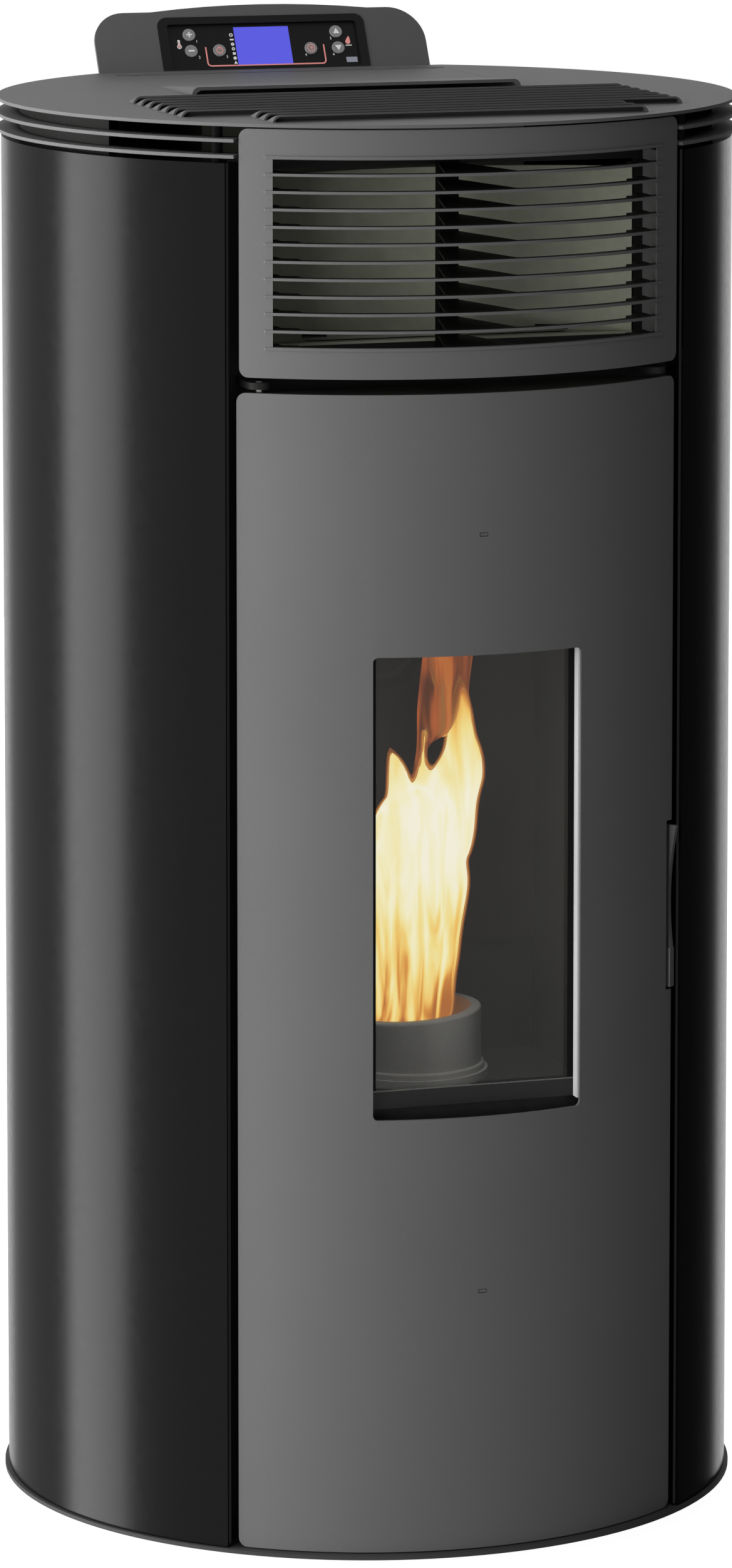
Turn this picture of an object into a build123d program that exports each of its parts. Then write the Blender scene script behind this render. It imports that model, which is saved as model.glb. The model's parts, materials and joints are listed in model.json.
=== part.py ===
"""Round pellet stove with a curved door, a slatted air grille and a control fascia.

Millimetres, +Z up, the door faces -Y.  The origin is on the floor, under the centre of the
round plates.  Angles around the body are measured from the front (-Y) towards +X.
"""
from build123d import *

import os
from math import acos, asin, cos, degrees, radians, sin, sqrt

# ---- driving dimensions -------------------------------------------------------------------
PLATE_R = 283.0          # base plate, top plate and fin rings
FIN_REACH = 3.0          # the plates and fins stand out beyond the shells
SHELL_R = PLATE_R - FIN_REACH     # flank shells and grille panel
DOOR_INSET = 4.0
DOOR_R = SHELL_R - DOOR_INSET     # outer face of the door
BACK_CUT = 39.0
BACK_Y = PLATE_R - BACK_CUT       # flat back of the stove
FOOT_H = 12.0            # floor to base plate
TOP_Z = 1085.0           # upper face of the top plate
SHEET = 2.5              # top plate and fin rings
SHELL_T = 2.0            # flanks, rear panel and grille panel
GAP = 0.5                # free gap between neighbouring sheets that move
RUN = 0.05               # radial clearance of a shaft in its bore

# ---- base, door and panel heights ---------------------------------------------------------
BASE_T = 3.0
BASE_TOP = FOOT_H + BASE_T
DOOR_H = 870.0
DOOR_Z0 = BASE_TOP + 1.0
DOOR_Z1 = DOOR_Z0 + DOOR_H
DOOR_T = 3.0
PANEL_Z0 = DOOR_Z1 + 12.0
PANEL_Z1 = TOP_Z - SHEET - 1.5
PANEL_ANGLE = 37.6
PANEL_HALF_W = SHELL_R * sin(radians(PANEL_ANGLE))
CORNER_R = 7.0

# ---- body shells --------------------------------------------------------------------------
FLANK_ANGLE = 39.86
FLANK_TOP = TOP_Z - 30.0
FRAME_T = 3.0
FLANGE_LAP = 0.1         # the front flange bites into the curved sheet
FLANGE_X = (SHELL_R - SHELL_T) * sin(radians(FLANK_ANGLE)) + FLANGE_LAP
REAR_HALF_W = sqrt(SHELL_R ** 2 - BACK_Y ** 2) - 4.85

# ---- door, window and slots ---------------------------------------------------------------
DOOR_SIDE_GAP = 6.97     # from a door edge to the flank's flange
DOOR_HALF_W = FLANGE_X - DOOR_SIDE_GAP
DOOR_ANGLE = degrees(asin(DOOR_HALF_W / DOOR_R))
SKIN_IN = DOOR_R - DOOR_T
WIN_HALF_W = 81.3
WIN_Z0 = 344.4
WIN_Z1 = DOOR_Z1 - 194.4
SLOT_W = 6.7
SLOT_H = 3.0
SLOT_ZS = (WIN_Z0 - 132.2, WIN_Z1 + 89.7)

# ---- glass and inner door: depths follow the skin's curve ---------------------------------
GLASS_T = 4.0
GLASS_HALF_W = WIN_HALF_W + 12.7
GLASS_Z0 = WIN_Z0 + 5.6
GLASS_Z1 = WIN_Z1 + 25.4
GLASS_Y0 = 4.3 - sqrt(SKIN_IN ** 2 - GLASS_HALF_W ** 2)
GLASS_Y1 = GLASS_Y0 + GLASS_T
DOOR_BACK = GLASS_Y1 + 29.0       # rear plane of the inner door
TRAY_Z0 = GLASS_Z0 - 32.0
TRAY_Z1 = GLASS_Z1 + 25.0
TRAY_HALF_W = 126.0
FRONT_Y = DOOR_BACK + 32.0        # front face of the inner frame plate
CUT_Y = -PLATE_R - 5.0            # ahead of every front sheet, for cuts

# ---- door hinge ---------------------------------------------------------------------------
PIN_R = 3.0
EAR_R = 6.5
PIVOT_Y = DOOR_BACK + 1.8
PIVOT = (-sqrt((SKIN_IN - EAR_R - 0.2) ** 2 - PIVOT_Y ** 2), PIVOT_Y)

# ---- handle -------------------------------------------------------------------------------
HANDLE_Z0 = 418.0
HANDLE_Z1 = 548.0
NOTCH_X = DOOR_HALF_W - 5.7
HANDLE_ANGLE = degrees(asin((NOTCH_X + DOOR_HALF_W) / 2 / (DOOR_R - 4.5)))
HANDLE_PIN_Z = HANDLE_Z0 + 13.0

# ---- firebox ------------------------------------------------------------------------------
FIRE_HALF_W = 120.0
FIRE_BACK = -45.0
FIRE_FRONT = DOOR_BACK + 4.0
FIRE_Z0 = 342.0
FIRE_Z1 = DOOR_Z1 - 124.0
FIRE_T = 3.0
POT_Y = FIRE_BACK - 63.0
POT_R = 54.0

# ---- grille -------------------------------------------------------------------------------
GRILLE_HALF_W = PANEL_HALF_W - 21.3
GRILLE_Z0 = PANEL_Z0 + 23.0
GRILLE_Z1 = PANEL_Z1 - 22.0
SLAT_PITCH = 12.8
SLATS = int((GRILLE_Z1 - GRILLE_Z0) / SLAT_PITCH) + 2
SLAT_T = 2.0
SLAT_Z0 = GRILLE_Z0 - 2.3
SLAT_HALF_W = GRILLE_HALF_W + 5.5
COMB_DEPTH = 10.0
COMB_Y = FRONT_Y - COMB_DEPTH       # front face of the comb that holds the slats
COMB_HALF_W = 7.5

# ---- top plate ----------------------------------------------------------------------------
LOUVRES = 10
LOUVRE_PITCH = 21.1
LOUVRE_Y0 = -37.0
LOUVRE_H = 5.5
LOUVRE_T = 1.5
LOUVRE_D = 14.0
LONG_ROWS = 7
LONG_RIM = 27.0          # from the plate's rim to the ends of the last long row
SHORT_RIM = 13.0         # the same for the last short row
LONG_LAST_Y = LOUVRE_Y0 - LOUVRE_PITCH * (LONG_ROWS - 1)
SHORT_LAST_Y = LOUVRE_Y0 - LOUVRE_PITCH * (LOUVRES - 1)
LONG_HALF = sqrt((PLATE_R - LONG_RIM) ** 2 - LONG_LAST_Y ** 2)
SHORT_HALF = sqrt((PLATE_R - SHORT_RIM) ** 2 - SHORT_LAST_Y ** 2)
LID_HALF_W = 136.2
LID_Y0 = 21.5
LID_AXIS_Y = BACK_Y - 31.0
LID_AXIS_Z = TOP_Z - 5.0
LID_BARREL_R = 5.0
LID_BARREL_HALF = 120.0
LID_PIN_R = 2.5
LUG_X = LID_BARREL_HALF + 3.5     # middle of each lug that holds the lid's pin
LUG_T = 5.0
LID_SWEEP = 8.0          # room about the axis for the lid's rear corners
LIP_H = 6.0
LIP_HALF_W = LID_HALF_W - 3.2
LIP_RUN = 90.0

# ---- control fascia (local x across, u up the slope) ---------------------------------------
FASCIA_TILT = 28.5
FASCIA_Y = BACK_Y - 1.0
FASCIA_X0 = -143.2
FASCIA_X1 = 133.4
FASCIA_SHOULDER = 52.0
BEZEL_X0 = -90.0
BEZEL_X1 = 83.0
BEZEL_U1 = 46.8
POCKET = (-82.0, 76.0, 2.0, 40.6)
LCD = (-26.3, 19.5, 5.4, 38.2)
KEY_R = 5.2
KEY_TRAVEL = 0.8
KEYS = {
    "key_plus": (-64.0, 32.3),
    "key_minus": (-64.0, 18.2),
    "key_power": (-40.5, 18.2),
    "key_menu": (36.1, 18.2),
    "key_up": (59.1, 32.3),
    "key_down": (59.1, 18.2),
}
BOX_DEPTH = 28.0

# ---- fuel feed, fans and pipes ------------------------------------------------------------
AUGER_FOOT = (0.0, BACK_Y - 79.0, TOP_Z - 480.0)
AUGER_DIR = (0.0, -1.0, 1.0)
AUGER_LEN = (AUGER_FOOT[1] - FIRE_BACK) * sqrt(2) - 71.0
AUGER_R = 30.0
AUGER_WALL = 2.5
HOPPER_HALF_W = 130.0
HOPPER_Y0 = 6.0
HOPPER_Y1 = BACK_Y - 6.0
HOPPER_WALL = 2.0
FUNNEL_Z1 = TOP_Z - 185.0
FUNNEL_Z0 = AUGER_FOOT[2] + 195.0
THROAT_Z0 = AUGER_FOOT[2] + 35.0
THROAT_Y0 = AUGER_FOOT[1] - 80.0
THROAT_Y1 = AUGER_FOOT[1] - 20.0
THROAT_HALF_W = 27.0
SHAFT_R = 5.0
FLIGHT_R = 25.0
FAN_Y = 100.0
FAN_Z = 200.0
FAN_R = 78.0
FAN_X0 = -60.0
FAN_X1 = -6.0
FLUE_R = 40.0
FLUE_END = PLATE_R         # the flue ends in line with the round plates
INTAKE_R = 25.0
INTAKE_END = PLATE_R - 18.0
INTAKE_X = 30.0
INTAKE_Z = FIRE_Z0 + 26.0
COLLAR_Y = BACK_Y + 2.0  # from here out the pipes have their full mating diameter
PIPE_T = 1.5
ROOM_Y = -105.0
ROOM_Z = 110.0
ROOM_R = 32.0
ROOM_HALF = 90.0


def around(radius, angle):
    """Point on a circle about the stove's axis, the angle measured from the front."""
    return (radius * sin(radians(angle)), -radius * cos(radians(angle)))


def block(x0, x1, y0, y1, z0, z1, mode=Mode.ADD):
    """Box between two corners, in the part being built."""
    with Locations(((x0 + x1) / 2, (y0 + y1) / 2, (z0 + z1) / 2)):
        Box(x1 - x0, y1 - y0, z1 - z0, mode=mode)


def rod(start, direction, radius, length, mode=Mode.ADD):
    """Cylinder from a point along a direction, in the part being built."""
    with BuildSketch(Plane(origin=start, z_dir=direction)) as disc:
        Circle(radius)
    extrude(disc.sketch, amount=length, mode=mode)


def sector(r_out, r_in, a0, a1, z0, z1, mode=Mode.ADD):
    """Curved sheet between two radii and two angles, in the part being built."""
    mid = (a0 + a1) / 2
    with BuildSketch(Plane.XY.offset(z0)) as strip:
        with BuildLine():
            ThreePointArc(around(r_out, a0), around(r_out, mid), around(r_out, a1))
            Line(around(r_out, a1), around(r_in, a1))
            ThreePointArc(around(r_in, a1), around(r_in, mid), around(r_in, a0))
            Line(around(r_in, a0), around(r_out, a0))
        make_face()
    extrude(strip.sketch, amount=z1 - z0, mode=mode)


def round_plate(z0, thickness):
    """Round plate with the flat back, in the part being built."""
    with BuildSketch(Plane.XY.offset(z0)) as disc:
        Circle(PLATE_R)
        with Locations((0, BACK_Y + PLATE_R)):
            Rectangle(2 * PLATE_R, 2 * PLATE_R, mode=Mode.SUBTRACT)
    extrude(disc.sketch, amount=thickness)


def edges_of_length(part, length):
    """Edges of one length, such as the four corners of a sheet as thick as that."""
    return part.edges().filter_by(lambda edge: abs(edge.length - length) < 0.01)


# ---- base and feet ------------------------------------------------------------------------
FOOT_X = PLATE_R - 128.0
FOOT_Y = 158.0 - PLATE_R
REAR_FOOT_X = 125.0
REAR_FOOT_Y = BACK_Y - 54.0
FEET = ((-FOOT_X, FOOT_Y), (FOOT_X, FOOT_Y),
        (-REAR_FOOT_X, REAR_FOOT_Y), (REAR_FOOT_X, REAR_FOOT_Y))
STUD_R = 5.0
STUD_LENGTH = 34.0
FOOT_R = 18.0
NUT_R = 8.5
NUT_H = 8.0
BASE_OPENING = (200.0, 120.0)

with BuildPart() as base_plate:
    round_plate(FOOT_H, BASE_T)
    with Locations(*[(x, y, FOOT_H) for x, y in FEET]):
        Cylinder(STUD_R, 4 * BASE_T, mode=Mode.SUBTRACT)
    with Locations((*PIVOT, FOOT_H)):
        Cylinder(PIN_R, 4 * BASE_T, mode=Mode.SUBTRACT)
    with Locations((0, 0, FOOT_H)):
        Box(*BASE_OPENING, 4 * BASE_T, mode=Mode.SUBTRACT)
base_plate.part.label = "base_plate"

with BuildPart() as levelling_feet:
    with Locations(*[(x, y, 0) for x, y in FEET]):
        Cylinder(FOOT_R, FOOT_H, align=(Align.CENTER, Align.CENTER, Align.MIN))
        Cylinder(STUD_R, STUD_LENGTH, align=(Align.CENTER, Align.CENTER, Align.MIN))
    with Locations(*[(x, y, BASE_TOP) for x, y in FEET]):
        Cylinder(NUT_R, NUT_H, align=(Align.CENTER, Align.CENTER, Align.MIN))
levelling_feet.part.label = "levelling_feet"


# ---- flanks, rear panel and inner frame ----------------------------------------------------
FLANK_END = degrees(acos(-BACK_Y / SHELL_R))
RING_IN = PLATE_R - 21.0
TOP_FLANGE_IN = SHELL_R - 25.0
REAR_LAP = 14.5          # overlap of each flank's rear flange with the rear panel


def flank(name, side):
    """Curved side shell with flanges at its front, rear and top edges."""
    with BuildPart() as shell:
        sector(SHELL_R, SHELL_R - SHELL_T, FLANK_ANGLE, FLANK_END, BASE_TOP, FLANK_TOP)
        front = around(SHELL_R - SHELL_T, FLANK_ANGLE)[1]
        block(FLANGE_X - SHELL_T, FLANGE_X, front, FRONT_Y + FRAME_T, BASE_TOP, FLANK_TOP)
        block(REAR_HALF_W - REAR_LAP, sqrt(SHELL_R ** 2 - BACK_Y ** 2) - 0.3,
              BACK_Y - 2 * SHELL_T, BACK_Y - SHELL_T, BASE_TOP, FLANK_TOP)
        sector(SHELL_R - SHELL_T / 2, TOP_FLANGE_IN, FLANK_ANGLE + 2, FLANK_END - 2,
               FLANK_TOP - SHELL_T, FLANK_TOP)
    if side < 0:
        with BuildPart() as mirrored:
            add(shell.part.mirror(Plane.YZ))
        shell = mirrored
    shell.part.label = name
    return shell


flank_left = flank("flank_left", -1)
flank_right = flank("flank_right", 1)

FLUE_X = (FAN_X0 + FAN_X1) / 2
INLET = (88.0, 70.0)
SWITCH = (88.0, 112.0)
VENT_ROWS = 6
VENT_Z0 = 620.0
VENT_PITCH = 22.0
SOCKET_HALF = (14.0, 11.0)       # half width and half height of each socket's cut-out

with BuildPart() as rear_panel:
    block(-REAR_HALF_W, REAR_HALF_W, BACK_Y - SHELL_T, BACK_Y, BASE_TOP, TOP_Z - SHEET)
    rod((FLUE_X, BACK_Y + 5, FAN_Z), (0, -1, 0), FLUE_R - 1, 20, mode=Mode.SUBTRACT)
    rod((INTAKE_X, BACK_Y + 5, INTAKE_Z), (0, -1, 0), INTAKE_R - 1, 20, mode=Mode.SUBTRACT)
    for x, z in (INLET, SWITCH):
        block(x - SOCKET_HALF[0], x + SOCKET_HALF[0], BACK_Y - 10, BACK_Y + 10,
              z - SOCKET_HALF[1], z + SOCKET_HALF[1], mode=Mode.SUBTRACT)
    with BuildSketch(Plane.XZ.offset(-BACK_Y - 5)):
        with Locations(*[(x, VENT_Z0 + VENT_PITCH * row)
                         for row in range(VENT_ROWS) for x in (-70, 0, 70)]):
            SlotOverall(50, 7)
    extrude(amount=20, mode=Mode.SUBTRACT)
rear_panel.part.label = "rear_panel"

ASH_HALF_W = 100.0
ASH_Z0 = 228.0
ASH_Z1 = TRAY_Z0
SHELF_BACK = -50.0
SHELF_LEG = 6.0          # thickness of the legs under the ash drawer's shelf
FAN_WINDOW = (45.0, 180.0)       # lower and upper edge of the room fan's opening

with BuildPart() as front_frame:
    inner_x = FLANGE_X - SHELL_T
    block(-inner_x, inner_x, FRONT_Y, FRONT_Y + FRAME_T, BASE_TOP, FLANK_TOP - SHELL_T)
    block(-FIRE_HALF_W - FIRE_T, FIRE_HALF_W + FIRE_T, FRONT_Y - 5, FRONT_Y + 10,
          FIRE_Z0 - FIRE_T, FIRE_Z1 + FIRE_T, mode=Mode.SUBTRACT)
    block(-GRILLE_HALF_W, GRILLE_HALF_W, FRONT_Y - 5, FRONT_Y + 10,
          GRILLE_Z0 - 6, FLANK_TOP - 8, mode=Mode.SUBTRACT)
    block(-ASH_HALF_W - 1, ASH_HALF_W + 1, FRONT_Y - 5, FRONT_Y + 10,
          ASH_Z0, ASH_Z1 + 2, mode=Mode.SUBTRACT)
    block(-ROOM_HALF - 5, ROOM_HALF + 5, FRONT_Y - 5, FRONT_Y + 10, *FAN_WINDOW,
          mode=Mode.SUBTRACT)
    shelf_x = inner_x - 20
    block(-shelf_x, shelf_x, FRONT_Y, SHELF_BACK, ASH_Z0 - FRAME_T, ASH_Z0)
    for side in (-1, 1):
        with Locations((side * (shelf_x - SHELF_LEG), (FRONT_Y + SHELF_BACK) / 2,
                        ASH_Z0 - FRAME_T)):
            Box(SHELF_LEG, SHELF_BACK - FRONT_Y - 7, 60,
                align=(Align.CENTER, Align.CENTER, Align.MAX))
front_frame.part.label = "front_frame"


# ---- top plate with louvres, lid opening and fascia -----------------------------------------
def hood(half_length, y0, height, run, end_run, z0=TOP_Z):
    """Pressed-up hood: highest along its front edge, sloping to nothing at the rear."""
    with BuildPart() as shape:
        with BuildSketch(Plane.XZ.offset(-y0)):
            with BuildLine():
                Line((-half_length, 0), (half_length, 0))
                ThreePointArc((half_length, 0), (half_length - end_run * 0.25, height * 0.62),
                              (half_length - end_run, height))
                Line((half_length - end_run, height), (-half_length + end_run, height))
                ThreePointArc((-half_length + end_run, height),
                              (-half_length + end_run * 0.25, height * 0.62), (-half_length, 0))
            make_face()
        extrude(amount=-run)
        with BuildSketch(Plane.YZ.offset(-half_length)):
            with BuildLine():
                Polyline((y0, 0), (y0, height), (y0 + run, 0), close=True)
            make_face()
        extrude(amount=2 * half_length, mode=Mode.INTERSECT)
    return shape.part.translate((0, 0, z0))


FASCIA = Plane(origin=(0, FASCIA_Y, TOP_Z), x_dir=(1, 0, 0),
               z_dir=(0, -cos(radians(FASCIA_TILT)), sin(radians(FASCIA_TILT))))


def fascia_outline(inset=0.0):
    """Fascia face: rounded shoulders and a shallow bulge along its upper edge."""
    x0, x1, top = FASCIA_X0 + inset, FASCIA_X1 - inset, FASCIA_SHOULDER - inset
    left_r, right_r = 26.0 - inset, 30.0 - inset
    bend = 0.7071
    with BuildLine() as outline:
        Polyline((x0, top - left_r), (x0, -14), (x1, -14), (x1, top - right_r))
        ThreePointArc((x1, top - right_r),
                      (x1 - right_r * (1 - bend), top - right_r * (1 - bend)),
                      (x1 - right_r, top))
        Line((x1 - right_r, top), (88, top))
        ThreePointArc((88, top), (-3, top + 5), (-94, top))
        Line((-94, top), (x0 + left_r, top))
        ThreePointArc((x0 + left_r, top),
                      (x0 + left_r * (1 - bend), top - left_r * (1 - bend)),
                      (x0, top - left_r))
    make_face(outline.edges())


def bezel_outline(inset=0.0):
    """Display frame: square at the foot, rounded at its upper corners."""
    with BuildLine() as outline:
        Polyline((BEZEL_X0 + inset, BEZEL_U1 - 8), (BEZEL_X0 + inset, 0.6 + inset),
                 (BEZEL_X1 - inset, 0.6 + inset), (BEZEL_X1 - inset, BEZEL_U1 - 8))
        ThreePointArc((BEZEL_X1 - inset, BEZEL_U1 - 8), (BEZEL_X1 - inset - 2.4, BEZEL_U1 - 2.4),
                      (BEZEL_X1 - inset - 8, BEZEL_U1 - inset))
        Line((BEZEL_X1 - inset - 8, BEZEL_U1 - inset), (BEZEL_X0 + inset + 8, BEZEL_U1 - inset))
        ThreePointArc((BEZEL_X0 + inset + 8, BEZEL_U1 - inset),
                      (BEZEL_X0 + inset + 2.4, BEZEL_U1 - 2.4), (BEZEL_X0 + inset, BEZEL_U1 - 8))
    make_face(outline.edges())


def louvre_rows():
    """Front edge and half length of each pressed louvre."""
    for row in range(LOUVRES):
        half = LONG_HALF if row < LONG_ROWS else SHORT_HALF
        yield LOUVRE_Y0 - LOUVRE_PITCH * row, half


with BuildPart() as fascia_sheet:
    with BuildSketch(FASCIA):
        fascia_outline()
    extrude(amount=-SHEET)
    with BuildSketch(FASCIA):
        bezel_outline()
    extrude(amount=2 * SHEET, both=True, mode=Mode.SUBTRACT)
    block(-PLATE_R, PLATE_R, BACK_Y - 44, PLATE_R, TOP_Z - 40, TOP_Z - SHEET, mode=Mode.SUBTRACT)

with BuildPart() as top_plate:
    round_plate(TOP_Z - SHEET, SHEET)
    add(fascia_sheet.part)
    for y, half in louvre_rows():
        add(hood(half, y, LOUVRE_H, LOUVRE_D, 7))
    for y, half in louvre_rows():
        add(hood(half - LOUVRE_T, y - 0.01, LOUVRE_H - LOUVRE_T, LOUVRE_D - 4, 6),
            mode=Mode.SUBTRACT)
        block(-half + 4, half - 4, y, y + LOUVRE_D - 5, TOP_Z - 2 * SHEET, TOP_Z + 0.5,
              mode=Mode.SUBTRACT)
        block(-half - 5, half + 5, y - 0.4, y + 0.4, TOP_Z - 2 * SHEET, TOP_Z + 0.1,
              mode=Mode.SUBTRACT)
    block(-LID_HALF_W - GAP, LID_HALF_W + GAP, LID_Y0 - GAP, LID_AXIS_Y + LID_BARREL_R + GAP,
          TOP_Z - 2 * SHEET, TOP_Z + SHEET, mode=Mode.SUBTRACT)
    for side in (-1, 1):
        with BuildSketch(Plane.YZ.offset(side * LUG_X - LUG_T / 2)):
            with Locations((LID_AXIS_Y, LID_AXIS_Z)):
                Circle(LID_BARREL_R)
            with Locations((LID_AXIS_Y + 9, LID_AXIS_Z - 1.25)):
                Rectangle(18, 7.5)
            with Locations((LID_AXIS_Y + 12.3, TOP_Z - SHEET - 2.5)):
                Rectangle(12, 5)
            with Locations((LID_AXIS_Y, LID_AXIS_Z)):
                Circle(LID_PIN_R, mode=Mode.SUBTRACT)
        extrude(amount=LUG_T)
top_plate.part.label = "top_plate"


# ---- fin rings under the top plate ----------------------------------------------------------
RING_ANGLE = 38.2
RING_END = degrees(acos(-BACK_Y / PLATE_R))
RING_PITCH = 11.8
RING_TOPS = (TOP_Z - RING_PITCH, TOP_Z - 2 * RING_PITCH)
COLLAR_ANGLE = 64.0      # from here to the rear panel a collar carries the rings
COLLAR_R = SHELL_R - 14.0
COLLAR_T = 1.5
COLLAR_END = 180.0 - degrees(asin((HOPPER_HALF_W + 1.5) / (COLLAR_R - COLLAR_T)))
SPACER_R = 4.0
SPACER_PLACES = (-42, 42)


def fin_rings(name, side):
    """Two curved fins of one flank, and the collar that carries them."""
    with BuildPart() as rings:
        for top in RING_TOPS:
            sector(PLATE_R, RING_IN, side * RING_ANGLE, side * RING_END, top - SHEET, top)
        sector(COLLAR_R, COLLAR_R - COLLAR_T, side * COLLAR_ANGLE, side * COLLAR_END,
               FLANK_TOP, TOP_Z - SHEET)
    rings.part.label = name
    return rings


fin_rings_left = fin_rings("fin_rings_left", -1)
fin_rings_right = fin_rings("fin_rings_right", 1)

with BuildPart() as ring_spacers:
    levels = [FLANK_TOP, RING_TOPS[1] - SHEET, RING_TOPS[1], RING_TOPS[0] - SHEET,
              RING_TOPS[0], TOP_Z - SHEET]
    for z0, z1 in zip(levels[::2], levels[1::2]):
        for angle in SPACER_PLACES:
            rod((*around(SHELL_R - 10, angle), z0), (0, 0, 1), SPACER_R, z1 - z0)
ring_spacers.part.label = "ring_spacers"


# ---- grille panel, slats and the air duct behind them ---------------------------------------
CHEEK_X = SLAT_HALF_W + 2.0

with BuildPart() as grille_panel:
    sector(SHELL_R, SHELL_R - SHELL_T, -PANEL_ANGLE, PANEL_ANGLE, PANEL_Z0, PANEL_Z1)
    fillet(edges_of_length(grille_panel, SHELL_T), CORNER_R)
    with BuildSketch(Plane.XZ.offset(-FRONT_Y)):
        with Locations((0, (GRILLE_Z0 + GRILLE_Z1) / 2)):
            Rectangle(2 * GRILLE_HALF_W, GRILLE_Z1 - GRILLE_Z0)
        with Locations(*[(0, SLAT_Z0 + SLAT_T / 2 + SLAT_PITCH * n) for n in range(SLATS)]):
            Rectangle(2 * SLAT_HALF_W, SLAT_T)
    extrude(amount=FRONT_Y - CUT_Y, mode=Mode.SUBTRACT)
    for side in (-1, 1):
        x = side * (CHEEK_X + 0.5)
        front = -((SHELL_R - 1) ** 2 - CHEEK_X ** 2) ** 0.5
        block(x - 1, x + 1, front + 0.6, FRONT_Y, PANEL_Z0 + 6, FLANK_TOP)
grille_panel.part.label = "grille_panel"

SLAT_R = SHELL_R + 1.2
SLAT_DEPTH = 9.0
TAB_HALF_W = 28.0        # root of the tab that reaches back to the comb

with BuildPart() as slat:
    with BuildSketch(Plane.XY.offset(SLAT_Z0)):
        with BuildLine():
            end = asin(SLAT_HALF_W / SLAT_R)
            inner = SLAT_R - SLAT_DEPTH
            front_end = (SLAT_HALF_W, -SLAT_R * cos(end))
            back_end = (SLAT_HALF_W, -(inner ** 2 - SLAT_HALF_W ** 2) ** 0.5)
            ThreePointArc((-front_end[0], front_end[1]), (0, -SLAT_R), front_end)
            Line(front_end, back_end)
            ThreePointArc(back_end, (0, -inner), (-back_end[0], back_end[1]))
            Line((-back_end[0], back_end[1]), (-front_end[0], front_end[1]))
        make_face()
        with BuildLine():
            Polyline((-TAB_HALF_W, 1 - inner), (-COMB_HALF_W - 1, COMB_Y),
                     (COMB_HALF_W + 1, COMB_Y), (TAB_HALF_W, 1 - inner),
                     (0, -SLAT_R + 4), close=True)
        make_face()
        for side in (-1, 1):
            near, middle, far = SLAT_HALF_W - 27, SLAT_HALF_W - 16, SLAT_HALF_W - 7
            near_y = -0.7 - sqrt(inner ** 2 - near ** 2)
            far_y = -0.7 - sqrt(inner ** 2 - far ** 2)
            with BuildLine():
                Polyline((side * near, near_y), (side * far, far_y), (side * far, far_y + 17),
                         (side * middle, far_y + 17), (side * middle, far_y + 5),
                         (side * near, near_y + 12), close=True)
            make_face()
    extrude(amount=SLAT_T)

with BuildPart() as grille_slats:
    for n in range(SLATS):
        add(slat.part.translate((0, 0, SLAT_PITCH * n)))
grille_slats.part.label = "grille_slats"

with BuildPart() as grille_comb:
    block(-COMB_HALF_W, COMB_HALF_W, COMB_Y, FRONT_Y, GRILLE_Z0 - 14, GRILLE_Z1 + 12)
grille_comb.part.label = "grille_comb"

DUCT_HALF_W = GRILLE_HALF_W - 1.5
DUCT_BACK = FRONT_Y + 41.0
DUCT_SLOT_HALF_W = 105.0

with BuildPart() as air_duct:
    with BuildSketch(Plane.XY.offset(GRILLE_Z0 - 4)):
        with BuildLine():
            ThreePointArc((-DUCT_HALF_W, FRONT_Y), (0, DUCT_BACK), (DUCT_HALF_W, FRONT_Y))
            Line((DUCT_HALF_W, FRONT_Y), (DUCT_HALF_W, FRONT_Y + SHELL_T))
            ThreePointArc((DUCT_HALF_W, FRONT_Y + SHELL_T), (0, DUCT_BACK + SHELL_T),
                          (-DUCT_HALF_W, FRONT_Y + SHELL_T))
            Line((-DUCT_HALF_W, FRONT_Y + SHELL_T), (-DUCT_HALF_W, FRONT_Y))
        make_face()
    extrude(amount=FLANK_TOP - 10 - GRILLE_Z0)
    block(-DUCT_HALF_W - 1, DUCT_HALF_W + 1, FRONT_Y, DUCT_BACK + SHELL_T,
          GRILLE_Z0 - 6, GRILLE_Z0 - 4)
    block(-DUCT_SLOT_HALF_W, DUCT_SLOT_HALF_W, FRONT_Y + 9, DUCT_BACK - 10,
          GRILLE_Z0 - 8, GRILLE_Z0, mode=Mode.SUBTRACT)
air_duct.part.label = "air_duct"


# ---- door ------------------------------------------------------------------------------------
with BuildPart() as door_skin:
    sector(DOOR_R, DOOR_R - DOOR_T, -DOOR_ANGLE, DOOR_ANGLE, DOOR_Z0, DOOR_Z1)
    fillet(edges_of_length(door_skin, DOOR_T), CORNER_R)
    with BuildSketch(Plane.XZ.offset(-FRONT_Y)):
        with Locations((0, (WIN_Z0 + WIN_Z1) / 2)):
            RectangleRounded(2 * WIN_HALF_W, WIN_Z1 - WIN_Z0, 4)
        with Locations(*[(0.6, z) for z in SLOT_ZS]):
            Rectangle(SLOT_W, SLOT_H)
        with Locations((NOTCH_X + 10, (HANDLE_Z0 + HANDLE_Z1) / 2)):
            Rectangle(20, HANDLE_Z1 - HANDLE_Z0)
    extrude(amount=FRONT_Y - CUT_Y, mode=Mode.SUBTRACT)
door_skin.part.label = "door_skin"

MOUTH_HALF_W = GLASS_HALF_W - 10.0
MOUTH_Z0 = GLASS_Z0 + 11.0
MOUTH_Z1 = GLASS_Z1 - 11.0
SEAT_HALF_W = GLASS_HALF_W + 4.0  # pocket that the glass lies in


def door_segment(z0, height):
    """Flat slab that fills the door's curve back to its rear plane."""
    with BuildSketch(Plane.XY.offset(z0)) as segment:
        Circle(SKIN_IN)
        with Locations((0, DOOR_BACK + SKIN_IN)):
            Rectangle(2 * SKIN_IN, 2 * SKIN_IN, mode=Mode.SUBTRACT)
    extrude(segment.sketch, amount=height)


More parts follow.
